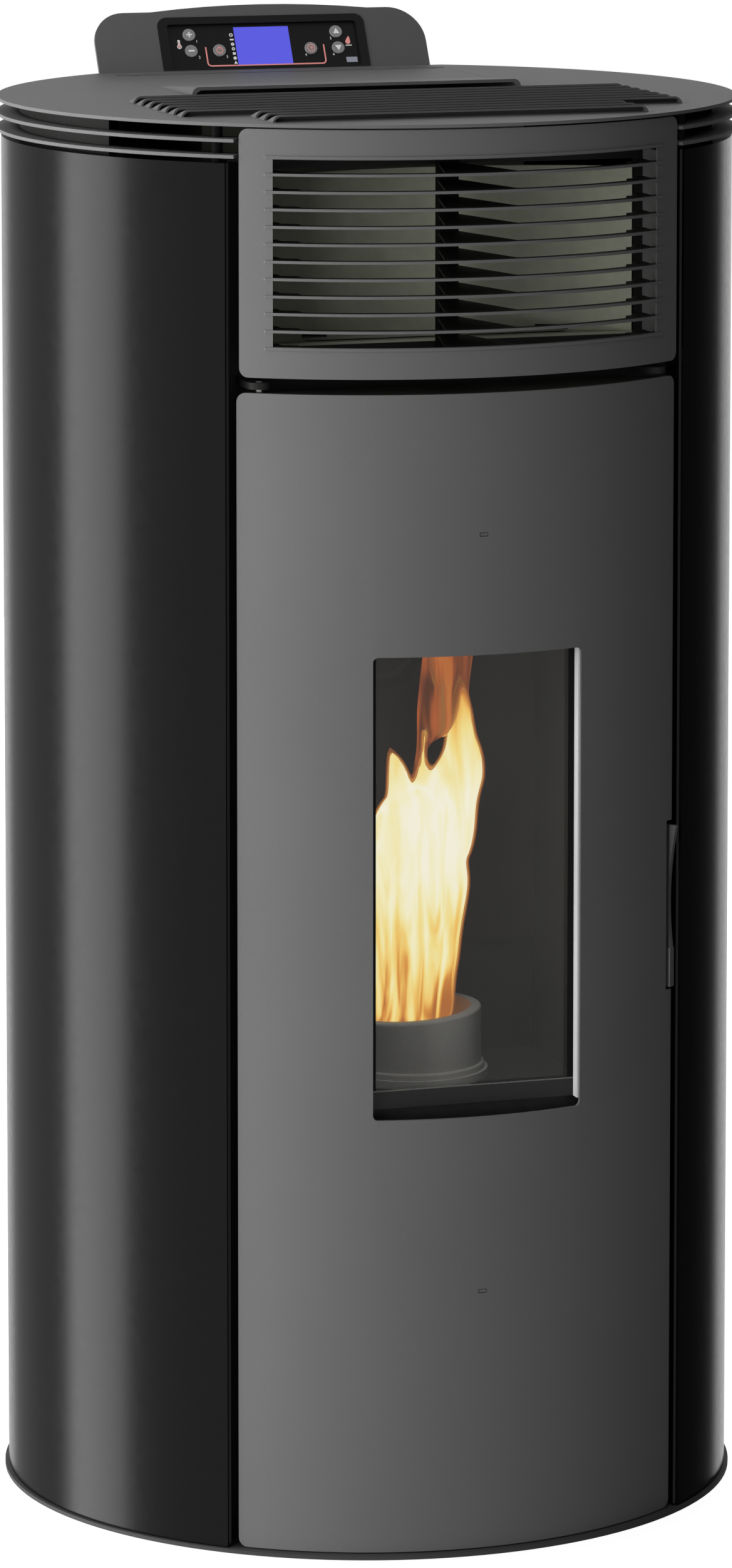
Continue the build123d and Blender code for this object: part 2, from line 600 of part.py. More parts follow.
def trim_sides(half_width, z0, z1):
    """Cut off what lies beyond a half width, in the part being built."""
    block(-PLATE_R, -half_width, CUT_Y, 0, z0, z1, mode=Mode.SUBTRACT)
    block(half_width, PLATE_R, CUT_Y, 0, z0, z1, mode=Mode.SUBTRACT)


with BuildPart() as door_frame:
    door_segment(TRAY_Z0, TRAY_Z1 - TRAY_Z0)
    trim_sides(TRAY_HALF_W, TRAY_Z0, TRAY_Z1)
    block(-SEAT_HALF_W, SEAT_HALF_W, CUT_Y, GLASS_Y1, TRAY_Z0 + 8, TRAY_Z1 - 8,
          mode=Mode.SUBTRACT)
    block(-SEAT_HALF_W, SEAT_HALF_W, GLASS_Y1 + 8, 0, TRAY_Z0 + 24, TRAY_Z1 - 24,
          mode=Mode.SUBTRACT)
    block(-MOUTH_HALF_W, MOUTH_HALF_W, CUT_Y, 0, MOUTH_Z0, MOUTH_Z1, mode=Mode.SUBTRACT)
door_frame.part.label = "door_frame"

with BuildPart() as door_glass:
    block(-GLASS_HALF_W, GLASS_HALF_W, GLASS_Y0, GLASS_Y1, GLASS_Z0, GLASS_Z1)
door_glass.part.label = "door_glass"

STRIP_T = 1.6

with BuildPart() as glass_strips:
    for side in (-1, 1):
        x = side * (WIN_HALF_W - 0.4)
        front = 0.4 - sqrt(SKIN_IN ** 2 - WIN_HALF_W ** 2)
        block(x - STRIP_T / 2, x + STRIP_T / 2, front, GLASS_Y0, GLASS_Z0, GLASS_Z1)
glass_strips.part.label = "glass_strips"

GASKET_HALF_W = TRAY_HALF_W - 4.0
GASKET_W = 10.0

with BuildPart() as door_gasket:
    block(-GASKET_HALF_W, GASKET_HALF_W, DOOR_BACK, FIRE_FRONT - 0.3, TRAY_Z0 + 3, TRAY_Z1 - 3)
    block(GASKET_W - GASKET_HALF_W, GASKET_HALF_W - GASKET_W, CUT_Y, 0,
          TRAY_Z0 + 3 + GASKET_W, TRAY_Z1 - 3 - GASKET_W, mode=Mode.SUBTRACT)
door_gasket.part.label = "door_gasket"


END_T = 4.0              # end plates and the plates over and under the inner door


def door_end_plate(z0):
    """Plate closing one end of the door, with an ear for the pivot pin."""
    with BuildSketch(Plane.XY.offset(z0)) as end:
        Circle(SKIN_IN)
        with Locations((0, DOOR_BACK + SKIN_IN)):
            Rectangle(2 * SKIN_IN, 2 * SKIN_IN, mode=Mode.SUBTRACT)
        with Locations(PIVOT):
            Circle(EAR_R)
            Circle(PIN_R + RUN, mode=Mode.SUBTRACT)
    extrude(end.sketch, amount=END_T)


with BuildPart() as door_end_plates:
    door_end_plate(DOOR_Z0)
    door_end_plate(DOOR_Z1 - END_T)
    for z in (TRAY_Z0 - END_T, TRAY_Z1):
        door_segment(z, END_T)
        trim_sides(TRAY_HALF_W + 7, z, z + END_T)
door_end_plates.part.label = "door_end_plates"

with BuildPart() as hinge_pins:
    rod((*PIVOT, FOOT_H), (0, 0, 1), PIN_R, 10)
    rod((*PIVOT, DOOR_Z1 - 8), (0, 0, 1), PIN_R, 16)
hinge_pins.part.label = "hinge_pins"

BRACKET_Z0 = DOOR_Z1 + 2.5
BRACKET_T = 5.0

with BuildPart() as front_brackets:
    with BuildSketch(Plane.XY.offset(BRACKET_Z0)):
        for side in (-1, 1):
            with Locations((side * PIVOT[0], (PIVOT[1] + FRONT_Y) / 2)):
                Rectangle(18, FRONT_Y - PIVOT[1])
            with Locations((side * PIVOT[0], PIVOT[1])):
                Circle(9)
        with Locations(PIVOT):
            Circle(PIN_R, mode=Mode.SUBTRACT)
    extrude(amount=BRACKET_T)
front_brackets.part.label = "front_brackets"


# ---- door handle: a lever in the notch of the door edge ---------------------------------------
def edge_plane(angle):
    """Plane holding the radial direction and +Z, its normal pointing towards the hinge side."""
    out = (sin(radians(angle)), -cos(radians(angle)), 0)
    return Plane(origin=(0, 0, 0), x_dir=out, z_dir=(-cos(radians(angle)), -sin(radians(angle)), 0))


LEVER_TOP = HANDLE_Z1 - 4
LEVER_R = DOOR_R - 5.0   # middle of the lever, from the stove's axis
LEVER_Z0 = HANDLE_Z0 + 2
LEVER_T = 3.4
KNUCKLE_T = 6.6
HANDLE_FRAME = edge_plane(HANDLE_ANGLE)

with BuildPart() as handle_lever:
    with BuildSketch(HANDLE_FRAME):
        with BuildLine():
            Polyline((LEVER_R - 6, LEVER_Z0), (LEVER_R + 6, LEVER_Z0), (LEVER_R + 6, LEVER_Z0 + 30))
            ThreePointArc((LEVER_R + 6, LEVER_Z0 + 30), (LEVER_R + 4, LEVER_Z0 + 78),
                          (LEVER_R + 10, LEVER_TOP))
            Line((LEVER_R + 10, LEVER_TOP), (LEVER_R + 2, LEVER_TOP))
            ThreePointArc((LEVER_R + 2, LEVER_TOP), (LEVER_R - 4, LEVER_Z0 + 78),
                          (LEVER_R - 6, LEVER_Z0 + 30))
            Line((LEVER_R - 6, LEVER_Z0 + 30), (LEVER_R - 6, LEVER_Z0))
        make_face()
    extrude(amount=LEVER_T / 2, both=True)
    with BuildSketch(HANDLE_FRAME):
        with Locations((LEVER_R, LEVER_Z0 + 15)):
            Rectangle(12, 30)
    extrude(amount=KNUCKLE_T / 2, both=True)
    chamfer(handle_lever.edges().filter_by(Axis.Z).group_by(Axis.Z)[0], 0.6)
    with BuildSketch(HANDLE_FRAME):
        with Locations((LEVER_R - 1, HANDLE_PIN_Z)):
            Circle(2.5 + RUN)
    extrude(amount=10, both=True, mode=Mode.SUBTRACT)
handle_lever.part.label = "handle_lever"

PIN_FRAME = HANDLE_FRAME.offset(KNUCKLE_T / 2 + 0.6)

with BuildPart() as handle_bracket:
    with BuildSketch(PIN_FRAME):
        with Locations((LEVER_R - 6.7, HANDLE_PIN_Z)):
            Rectangle(17, 24)
        with Locations((LEVER_R - 1, HANDLE_PIN_Z)):
            Circle(2.5, mode=Mode.SUBTRACT)
    extrude(amount=6)
handle_bracket.part.label = "handle_bracket"

with BuildPart() as handle_pin:
    with BuildSketch(HANDLE_FRAME.offset(-KNUCKLE_T / 2)):
        with Locations((LEVER_R - 1, HANDLE_PIN_Z)):
            Circle(2.5)
    extrude(amount=KNUCKLE_T + 6.6)
handle_pin.part.label = "handle_pin"


# ---- firebox, liner and burner ---------------------------------------------------------------
CHUTE_RISE = (AUGER_LEN - 35.1) / sqrt(2)     # from the auger's foot to the chute
CHUTE_START = (0.0, AUGER_FOOT[1] - CHUTE_RISE, AUGER_FOOT[2] + CHUTE_RISE)
CHUTE_EXIT = (0.0, FIRE_BACK, CHUTE_START[2] - 65.0)
CHUTE_RUN = tuple(b - a for a, b in zip(CHUTE_START, CHUTE_EXIT))
CHUTE_R = 26.0
SMOKE_HOLE = (33.0 - FIRE_HALF_W, FIRE_Z0 + 58.0)
SMOKE_HOLE_R = 22.0
FIRE_MOUTH_HALF_W = 100.0

with BuildPart() as firebox:
    outer = FIRE_HALF_W + FIRE_T
    block(-outer, outer, FIRE_FRONT, FIRE_BACK + FIRE_T, FIRE_Z0 - FIRE_T, FIRE_Z1 + FIRE_T)
    block(-outer - 12, outer + 12, FIRE_FRONT, FIRE_FRONT + FIRE_T, TRAY_Z0 - 4, FIRE_Z1 + 15)
    block(-FIRE_HALF_W, FIRE_HALF_W, FIRE_FRONT + FIRE_T, FIRE_BACK, FIRE_Z0, FIRE_Z1,
          mode=Mode.SUBTRACT)
    block(-FIRE_MOUTH_HALF_W, FIRE_MOUTH_HALF_W, FIRE_FRONT - 5, FIRE_FRONT + 10,
          FIRE_Z0, FIRE_Z1 - 37, mode=Mode.SUBTRACT)
    rod(CHUTE_START, CHUTE_RUN, CHUTE_R, 160, mode=Mode.SUBTRACT)
    rod((SMOKE_HOLE[0], FIRE_BACK - 5, SMOKE_HOLE[1]), (0, 1, 0), SMOKE_HOLE_R, 20,
        mode=Mode.SUBTRACT)
    rod((INTAKE_X, FIRE_BACK - 5, INTAKE_Z), (0, 1, 0), INTAKE_R - 1, 20, mode=Mode.SUBTRACT)
    rod((0, POT_Y, FIRE_Z0 - 10), (0, 0, 1), 40, 20, mode=Mode.SUBTRACT)
firebox.part.label = "firebox"

LINER_T = 8.0            # leaves 1 mm behind the burner pot
LINER_Z0 = FIRE_Z0 + 88.0

with BuildPart() as firebox_liner:
    block(-FIRE_HALF_W, FIRE_HALF_W, FIRE_BACK - LINER_T, FIRE_BACK, LINER_Z0, FIRE_Z1)
    rod(CHUTE_START, CHUTE_RUN, CHUTE_R + 2, 200, mode=Mode.SUBTRACT)
firebox_liner.part.label = "firebox_liner"

SEAT_H = 11.0
SEAT_STEP = 6.0

with BuildPart() as burner_seat:
    rod((0, POT_Y, FIRE_Z0), (0, 0, 1), POT_R + 5, SEAT_STEP)
    rod((0, POT_Y, FIRE_Z0 + SEAT_STEP), (0, 0, 1), POT_R + 2.5, SEAT_H - SEAT_STEP)
    fillet(burner_seat.edges().group_by(Axis.Z)[-1], 1.8)
    rod((0, POT_Y, FIRE_Z0), (0, 0, 1), 38, 20, mode=Mode.SUBTRACT)
burner_seat.part.label = "burner_seat"

POT_H = 43.0

with BuildPart() as burner_pot:
    rod((0, POT_Y, FIRE_Z0 + SEAT_H), (0, 0, 1), POT_R, POT_H)
    with BuildSketch(Plane.XZ.offset(-POT_Y - POT_R - 6)):
        with BuildLine():
            top = FIRE_Z0 + SEAT_H + POT_H
            Polyline((-POT_R - 6, top - 7), (-POT_R - 6, top + 5), (POT_R + 6, top + 5),
                     (POT_R + 6, top + 1), close=True)
        make_face()
    extrude(amount=2 * POT_R + 12, mode=Mode.SUBTRACT)
    fillet(burner_pot.edges().group_by(Axis.Z)[-1], 2)
    rod((0, POT_Y, FIRE_Z0 + SEAT_H + 8), (0, 0, 1), POT_R - 8, POT_H, mode=Mode.SUBTRACT)
    with Locations((0, POT_Y, FIRE_Z0 + SEAT_H + 4)):
        with PolarLocations(22, 8):
            Cylinder(4, 20, mode=Mode.SUBTRACT)
burner_pot.part.label = "burner_pot"

ASH_FRONT = FIRE_FRONT + 9.0
ASH_BACK = SHELF_BACK - 10.0
ASH_WALL = 2.0

with BuildPart() as ash_drawer:
    block(-ASH_HALF_W, ASH_HALF_W, ASH_FRONT, ASH_BACK, ASH_Z0, ASH_Z1)
    block(-ASH_HALF_W + ASH_WALL, ASH_HALF_W - ASH_WALL, ASH_FRONT + ASH_WALL,
          ASH_BACK - ASH_WALL, ASH_Z0 + ASH_WALL, ASH_Z1 + 5, mode=Mode.SUBTRACT)
    block(-30, 30, ASH_FRONT - 4, ASH_FRONT, ASH_Z0 + 50, ASH_Z0 + 62)
ash_drawer.part.label = "ash_drawer"

TUBE_R = 14.0
TUBE_PITCH = 33.0
TUBE_LENGTH = FIRE_BACK - FRONT_Y
TUBE_ROWS = (FIRE_Z1 + 50.0, FIRE_Z1 + 94.0)
TUBE_PLACES = [(TUBE_PITCH * n, z) for n in range(-3, 4) for z in TUBE_ROWS]
TUBE_SHEET_HALF_W = 3 * TUBE_PITCH + TUBE_R + 2

with BuildPart() as heat_tubes:
    for x, z in TUBE_PLACES:
        rod((x, FRONT_Y + FRAME_T, z), (0, 1, 0), TUBE_R, TUBE_LENGTH)
        rod((x, FRONT_Y, z), (0, 1, 0), TUBE_R - 2, TUBE_LENGTH + 10, mode=Mode.SUBTRACT)
    for y in (FRONT_Y + 7, FIRE_BACK - 3):
        block(-TUBE_SHEET_HALF_W, TUBE_SHEET_HALF_W, y, y + 3, FIRE_Z1 + FIRE_T,
              TUBE_ROWS[1] + TUBE_R + 10)
        for x, z in TUBE_PLACES:
            rod((x, y - 5, z), (0, 1, 0), TUBE_R - 2, 12, mode=Mode.SUBTRACT)
heat_tubes.part.label = "heat_tubes"


# ---- hopper and its lid ------------------------------------------------------------------------
def hopper_body(inset):
    """Straight bin over a funnel over a short throat, shrunk by the wall for the inside."""
    half = HOPPER_HALF_W - inset
    y0, y1 = HOPPER_Y0 + inset, HOPPER_Y1 - inset
    neck, n0, n1 = THROAT_HALF_W - inset, THROAT_Y0 + inset, THROAT_Y1 - inset
    with BuildPart() as body:
        block(-half, half, y0, y1, FUNNEL_Z1, TOP_Z - SHEET)
        with BuildSketch(Plane.XY.offset(FUNNEL_Z1)):
            with Locations((0, (y0 + y1) / 2)):
                Rectangle(2 * half, y1 - y0)
        with BuildSketch(Plane.XY.offset(FUNNEL_Z0)):
            with Locations((0, (n0 + n1) / 2)):
                Rectangle(2 * neck, n1 - n0)
        loft()
        block(-neck, neck, n0, n1, THROAT_Z0, FUNNEL_Z0)
    return body.part


with BuildPart() as hopper:
    add(hopper_body(0))
    rod(AUGER_FOOT, AUGER_DIR, AUGER_R, AUGER_LEN, mode=Mode.SUBTRACT)
    with BuildSketch(Plane(origin=AUGER_FOOT, x_dir=(1, 0, 0), z_dir=AUGER_DIR)):
        with Locations((0, -AUGER_LEN / 2)):
            Rectangle(4 * AUGER_R, AUGER_LEN)
    extrude(amount=AUGER_LEN, mode=Mode.SUBTRACT)
    add(hopper_body(HOPPER_WALL), mode=Mode.SUBTRACT)
    block(-HOPPER_HALF_W + HOPPER_WALL, HOPPER_HALF_W - HOPPER_WALL, HOPPER_Y0, HOPPER_Y1,
          TOP_Z - SHEET - 1, TOP_Z, mode=Mode.SUBTRACT)
    block(-HOPPER_HALF_W - 1, HOPPER_HALF_W + 1, LID_AXIS_Y - LID_SWEEP, LID_AXIS_Y + LID_SWEEP,
          LID_AXIS_Z - LID_SWEEP, TOP_Z, mode=Mode.SUBTRACT)
hopper.part.label = "hopper"

with BuildPart() as lid_blank:
    block(-LID_HALF_W, LID_HALF_W, LID_Y0, LID_AXIS_Y, TOP_Z - SHEET, TOP_Z)
    add(hood(LIP_HALF_W, LID_Y0, LIP_H, LIP_RUN, 5))

with BuildPart() as hopper_lid:
    add(lid_blank.part)
    add(hood(LIP_HALF_W - SHEET, LID_Y0 - 0.01, LIP_H, LIP_RUN - 24, 5,
             TOP_Z - SHEET), mode=Mode.SUBTRACT)
    rod((-LID_BARREL_HALF, LID_AXIS_Y, LID_AXIS_Z), (1, 0, 0), LID_BARREL_R,
        2 * LID_BARREL_HALF)
    rod((-LID_BARREL_HALF - 1, LID_AXIS_Y, LID_AXIS_Z), (1, 0, 0), LID_PIN_R + RUN,
        2 * LID_BARREL_HALF + 2, mode=Mode.SUBTRACT)
    for side in (-1, 1):
        x = side * LUG_X
        block(x - 3.3, x + 3.3, LID_AXIS_Y - 6.5, LID_AXIS_Y + 10, TOP_Z - 12, TOP_Z + 5,
              mode=Mode.SUBTRACT)
hopper_lid.part.label = "hopper_lid"

with BuildPart() as lid_hinge_pin:
    rod((-LUG_X - LUG_T / 2, LID_AXIS_Y, LID_AXIS_Z), (1, 0, 0), LID_PIN_R,
        2 * LUG_X + LUG_T)
lid_hinge_pin.part.label = "lid_hinge_pin"


# ---- auger, chute and gear motor ---------------------------------------------------------------
AUGER = Plane(origin=AUGER_FOOT, x_dir=(1, 0, 0), z_dir=AUGER_DIR)

with BuildPart() as auger_tube:
    with BuildSketch(AUGER):
        Circle(AUGER_R)
    extrude(amount=AUGER_LEN)
    with BuildSketch(AUGER.offset(3)):
        Circle(AUGER_R - AUGER_WALL)
    extrude(amount=AUGER_LEN - 6, mode=Mode.SUBTRACT)
    with BuildSketch(AUGER.offset(-1)):
        Circle(SHAFT_R + RUN)
    extrude(amount=AUGER_LEN + 2, mode=Mode.SUBTRACT)
    inner = THROAT_HALF_W - HOPPER_WALL - 3
    block(-inner, inner, THROAT_Y0 + 6, THROAT_Y1 - 6, AUGER_FOOT[2] + 85,
          FUNNEL_Z0 - 10, mode=Mode.SUBTRACT)
    rod(CHUTE_START, CHUTE_RUN, CHUTE_R - 2, 60, mode=Mode.SUBTRACT)
auger_tube.part.label = "auger_tube"

FLIGHT_PITCH = 38.0
FLIGHTS = int((AUGER_LEN - 30) / (FLIGHT_PITCH / 2))

with BuildPart() as auger_screw:
    with BuildSketch(AUGER.offset(-8)):
        Circle(SHAFT_R)
    extrude(amount=AUGER_LEN + 8)
    with BuildSketch(AUGER.offset(6)):
        Circle(SHAFT_R + 3)
    extrude(amount=AUGER_LEN - 12)
    for n in range(FLIGHTS):
        tilt = 12 if n % 2 else -12
        disc = AUGER.offset(16 + FLIGHT_PITCH / 2 * n)
        with BuildSketch(disc.rotated((tilt, 0, 0))):
            Circle(FLIGHT_R)
        extrude(amount=2)
auger_screw.part.label = "auger_screw"

with BuildPart() as auger_gearmotor:
    with BuildSketch(AUGER.offset(-38)):
        RectangleRounded(64, 52, 6)
    extrude(amount=38)
    with BuildSketch(AUGER.offset(-70)):
        Circle(22)
    extrude(amount=32)
    with BuildSketch(AUGER.offset(-10)):
        Circle(SHAFT_R + RUN)
    extrude(amount=12, mode=Mode.SUBTRACT)
auger_gearmotor.part.label = "auger_gearmotor"

CHUTE_LENGTH = 160.0

with BuildPart() as pellet_chute:
    rod(CHUTE_START, CHUTE_RUN, CHUTE_R, CHUTE_LENGTH)
    rod(CHUTE_START, CHUTE_RUN, CHUTE_R - 2, CHUTE_LENGTH + 2, mode=Mode.SUBTRACT)
    block(-2 * CHUTE_R, 2 * CHUTE_R, FIRE_BACK - CHUTE_LENGTH, FIRE_BACK,
          CHUTE_EXIT[2] - CHUTE_LENGTH, CHUTE_START[2] + CHUTE_R, mode=Mode.SUBTRACT)
    with BuildSketch(AUGER.offset(-5)):
        Circle(AUGER_R)
    extrude(amount=AUGER_LEN + 10, mode=Mode.SUBTRACT)
pellet_chute.part.label = "pellet_chute"


# ---- smoke fan, flue and combustion air --------------------------------------------------------
def fan_wheel(centre, radius, width, blades, blade_root):
    """Squirrel-cage wheel about an axis along X, in the part being built."""
    x0 = centre[0] - width / 2
    with BuildSketch(Plane.YZ.offset(x0)) as back_disc:
        with Locations(centre[1:]):
            Circle(radius)
    extrude(back_disc.sketch, amount=2)
    with BuildSketch(Plane.YZ.offset(x0 + width - 2)) as front_ring:
        with Locations(centre[1:]):
            Circle(radius)
            Circle(blade_root, mode=Mode.SUBTRACT)
    extrude(front_ring.sketch, amount=2)
    with BuildSketch(Plane.YZ.offset(x0)) as vanes:
        with Locations(centre[1:]):
            with PolarLocations((radius + blade_root) / 2, blades):
                Rectangle(radius - blade_root, 1.6, rotation=18)
    extrude(vanes.sketch, amount=width)


FAN = ((FAN_X0 + FAN_X1) / 2, FAN_Y, FAN_Z)

with BuildPart() as smoke_fan_housing:
    rod((FAN_X0, FAN_Y, FAN_Z), (1, 0, 0), FAN_R, FAN_X1 - FAN_X0)
    rod((FAN_X0 + 2, FAN_Y, FAN_Z), (1, 0, 0), FAN_R - 2, FAN_X1 - FAN_X0 - 4,
        mode=Mode.SUBTRACT)
    rod((FAN_X0 - 1, FAN_Y, FAN_Z), (1, 0, 0), 36, 5, mode=Mode.SUBTRACT)
    rod((FAN_X1 - 5, FAN_Y, FAN_Z), (1, 0, 0), SHAFT_R + 2, 10, mode=Mode.SUBTRACT)
    rod((FLUE_X, FAN_Y, FAN_Z), (0, 1, 0), 24, 100, mode=Mode.SUBTRACT)
smoke_fan_housing.part.label = "smoke_fan_housing"

with BuildPart() as smoke_fan_wheel:
    fan_wheel(FAN, 66, 36, 20, 44)
    rod((FAN[0] - 18, FAN_Y, FAN_Z), (1, 0, 0), SHAFT_R, 50)
smoke_fan_wheel.part.label = "smoke_fan_wheel"

with BuildPart() as smoke_fan_motor:
    rod((FAN_X1, FAN_Y, FAN_Z), (1, 0, 0), 46, 4)
    rod((FAN_X1 + 4, FAN_Y, FAN_Z), (1, 0, 0), 38, 52)
    rod((FAN_X1 - 1, FAN_Y, FAN_Z), (1, 0, 0), SHAFT_R + RUN, 12, mode=Mode.SUBTRACT)
smoke_fan_motor.part.label = "smoke_fan_motor"

with BuildPart() as flue_stub:
    rod((FLUE_X, FAN_Y + 50, FAN_Z), (0, 1, 0), FLUE_R - 1, COLLAR_Y - FAN_Y - 50)
    rod((FLUE_X, COLLAR_Y, FAN_Z), (0, 1, 0), FLUE_R, FLUE_END - COLLAR_Y)
    rod((FLUE_X, FAN_Y + 49, FAN_Z), (0, 1, 0), FLUE_R - 1 - PIPE_T, FLUE_END, mode=Mode.SUBTRACT)
    rod((FAN_X0 - 80, FAN_Y, FAN_Z), (1, 0, 0), FAN_R, 300, mode=Mode.SUBTRACT)
flue_stub.part.label = "flue_stub"

SMOKE_DUCT_X = 8.0 - FIRE_HALF_W
SMOKE_DUCT_Z0 = FAN_Z - 50.0
SMOKE_DUCT_Z1 = SMOKE_HOLE[1] + 30.0
SMOKE_DUCT_BACK = FAN_Y + 50.0
EYE_R = 36.0             # opening of the smoke fan

with BuildPart() as smoke_duct:
    block(SMOKE_DUCT_X, FAN_X0, FIRE_BACK + FIRE_T, SMOKE_DUCT_BACK, SMOKE_DUCT_Z0, SMOKE_DUCT_Z1)
    block(SMOKE_DUCT_X + 2, FAN_X0 - 2, FIRE_BACK + FIRE_T + 2, SMOKE_DUCT_BACK - 2,
          SMOKE_DUCT_Z0 + 2, SMOKE_DUCT_Z1 - 2, mode=Mode.SUBTRACT)
    rod((SMOKE_HOLE[0], FIRE_BACK, SMOKE_HOLE[1]), (0, 1, 0), SMOKE_HOLE_R, 8,
        mode=Mode.SUBTRACT)
    rod((FAN_X0 - 5, FAN_Y, FAN_Z), (1, 0, 0), EYE_R, 10, mode=Mode.SUBTRACT)
smoke_duct.part.label = "smoke_duct"

with BuildPart() as air_intake_pipe:
    rod((INTAKE_X, FIRE_BACK, INTAKE_Z), (0, 1, 0), INTAKE_R - 1, COLLAR_Y - FIRE_BACK)
    rod((INTAKE_X, COLLAR_Y, INTAKE_Z), (0, 1, 0), INTAKE_R, INTAKE_END - COLLAR_Y)
    rod((INTAKE_X, FIRE_BACK - 1, INTAKE_Z), (0, 1, 0), INTAKE_R - 1 - PIPE_T,
        INTAKE_END - FIRE_BACK + 2, mode=Mode.SUBTRACT)
air_intake_pipe.part.label = "air_intake_pipe"


# ---- room air fan --------------------------------------------------------------------------------
with BuildPart() as room_fan_housing:
    for side in (-1, 1):
        x = side * (ROOM_HALF + 4)
        block(x - 1.5, x + 1.5, ROOM_Y - 45, ROOM_Y + 45, BASE_TOP, ROOM_Z + 45)
        rod((x - 5, ROOM_Y, ROOM_Z), (1, 0, 0), 4 + RUN, 10, mode=Mode.SUBTRACT)
    block(-ROOM_HALF - 4, ROOM_HALF + 4, ROOM_Y + 43, ROOM_Y + 45, BASE_TOP, ROOM_Z + 45)
    block(-ROOM_HALF - 4, ROOM_HALF + 4, ROOM_Y - 45, ROOM_Y + 45, ROOM_Z + 43, ROOM_Z + 45)
room_fan_housing.part.label = "room_fan_housing"

with BuildPart() as room_fan_wheel:
    fan_wheel((0, ROOM_Y, ROOM_Z), ROOM_R, 2 * ROOM_HALF - 6, 16, ROOM_R - 9)
    rod((-ROOM_HALF - 8, ROOM_Y, ROOM_Z), (1, 0, 0), 4, 2 * ROOM_HALF + 30)
room_fan_wheel.part.label = "room_fan_wheel"

with BuildPart() as room_fan_motor:
    rod((ROOM_HALF + 5.5, ROOM_Y, ROOM_Z), (1, 0, 0), 30, 45)
    rod((ROOM_HALF + 5, ROOM_Y, ROOM_Z), (1, 0, 0), 4 + RUN, 24, mode=Mode.SUBTRACT)
    block(ROOM_HALF + 12, ROOM_HALF + 40, ROOM_Y - 20, ROOM_Y + 20, BASE_TOP, ROOM_Z - 28)
room_fan_motor.part.label = "room_fan_motor"


# ---- control fascia: box, bezel, screen, keys and board --------------------------------------------
def on_fascia(depth=0.0):
    """Plane parallel to the fascia, a depth behind its face."""
    return FASCIA.offset(-depth)


BOX_WALL = 1.5
BOX_FOOT = TOP_Z - 14
BOX_INSET = 1.0          # from the fascia's outline to the box
BOX_SIDE = 15.0          # the same at its two sides


def box_volume(inset, depth, foot):
    """Space behind the fascia, down to a level foot behind the rear panel."""
    with BuildPart() as volume:
        with BuildSketch(on_fascia(SHEET)):
            fascia_outline(inset)
        extrude(amount=-depth)
        block(-200, 200, 150, 400, TOP_Z - 100, foot, mode=Mode.SUBTRACT)
        block(-200, 200, 150, BACK_Y + 0.2 + (inset - BOX_INSET) / 5, TOP_Z - 100, TOP_Z, mode=Mode.SUBTRACT)
        block(-200, 200, PLATE_R + BOX_INSET - inset, 400, TOP_Z - 100, TOP_Z + 100,
              mode=Mode.SUBTRACT)
        block(-200, FASCIA_X0 + BOX_SIDE + inset, 150, 400, TOP_Z - 100, TOP_Z + 100,
              mode=Mode.SUBTRACT)
        block(FASCIA_X1 - BOX_SIDE - inset, 200, 150, 400, TOP_Z - 100, TOP_Z + 100,
              mode=Mode.SUBTRACT)
    return volume.part


with BuildPart() as control_box:
    add(box_volume(BOX_INSET, BOX_DEPTH, BOX_FOOT))
    add(box_volume(BOX_INSET + BOX_WALL, BOX_DEPTH - BOX_WALL, BOX_FOOT + BOX_WALL),
        mode=Mode.SUBTRACT)
control_box.part.label = "control_box"

PROUD = 0.6
POCKET_D = 2.4
BEZEL_D = 6.0
BOSS_H = 4.5
BOARD_T = 1.6

with BuildPart() as display_bezel:
    with BuildSketch(on_fascia(-PROUD)):
        bezel_outline()
    extrude(amount=-PROUD - BEZEL_D)
    x0, x1, u0, u1 = POCKET
    with BuildSketch(on_fascia(-PROUD)):
        with Locations(((x0 + x1) / 2, (u0 + u1) / 2)):
            RectangleRounded(x1 - x0, u1 - u0, 2)
    extrude(amount=-PROUD - POCKET_D, mode=Mode.SUBTRACT)
    with BuildSketch(on_fascia(-PROUD)):
        with Locations(*KEYS.values()):
            Circle(KEY_R + 0.1)
        with Locations(((LCD[0] + LCD[1]) / 2, (LCD[2] + LCD[3]) / 2)):
            Rectangle(LCD[1] - LCD[0], LCD[3] - LCD[2])
    extrude(amount=-20, mode=Mode.SUBTRACT)
    with BuildSketch(on_fascia(BEZEL_D)):
        with Locations((-84, 6), (78, 6), (-84, 41), (78, 41)):
            Circle(2.5)
    extrude(amount=-BOSS_H)
display_bezel.part.label = "display_bezel"

with BuildPart() as lcd_screen:
    with BuildSketch(on_fascia(POCKET_D - 0.2)):
        with Locations(((LCD[0] + LCD[1]) / 2, (LCD[2] + LCD[3]) / 2)):
            Rectangle(LCD[1] - LCD[0], LCD[3] - LCD[2])
    extrude(amount=-(BEZEL_D - POCKET_D + BOSS_H + 0.2))
lcd_screen.part.label = "lcd_screen"

with BuildPart() as control_board:
    with BuildSketch(on_fascia(BEZEL_D + BOSS_H)):
        with Locations((-3, 23.5)):
            Rectangle(172, 40)
    extrude(amount=-BOARD_T)
    with BuildSketch(on_fascia(BEZEL_D + BOSS_H + BOARD_T)):
        with Locations((-40, 24), (30, 26), (62, 20)):
            Rectangle(18, 14)
    extrude(amount=-6)
control_board.part.label = "control_board"


def key_button(name, place):
    """Round key standing a little out of the pocket, with a shoulder behind the bezel."""
    with BuildPart() as key:
        with BuildSketch(on_fascia(POCKET_D - 1.2)):
            with Locations(place):
                Circle(KEY_R)
        extrude(amount=-(BEZEL_D - POCKET_D + 1.2 + BOSS_H - KEY_TRAVEL - 0.4))
        fillet(key.edges().filter_by(GeomType.CIRCLE).sort_by(Axis.Z)[-1], 0.4)
    key.part.label = name
    return key


keys = [key_button(name, place) for name, place in KEYS.items()]


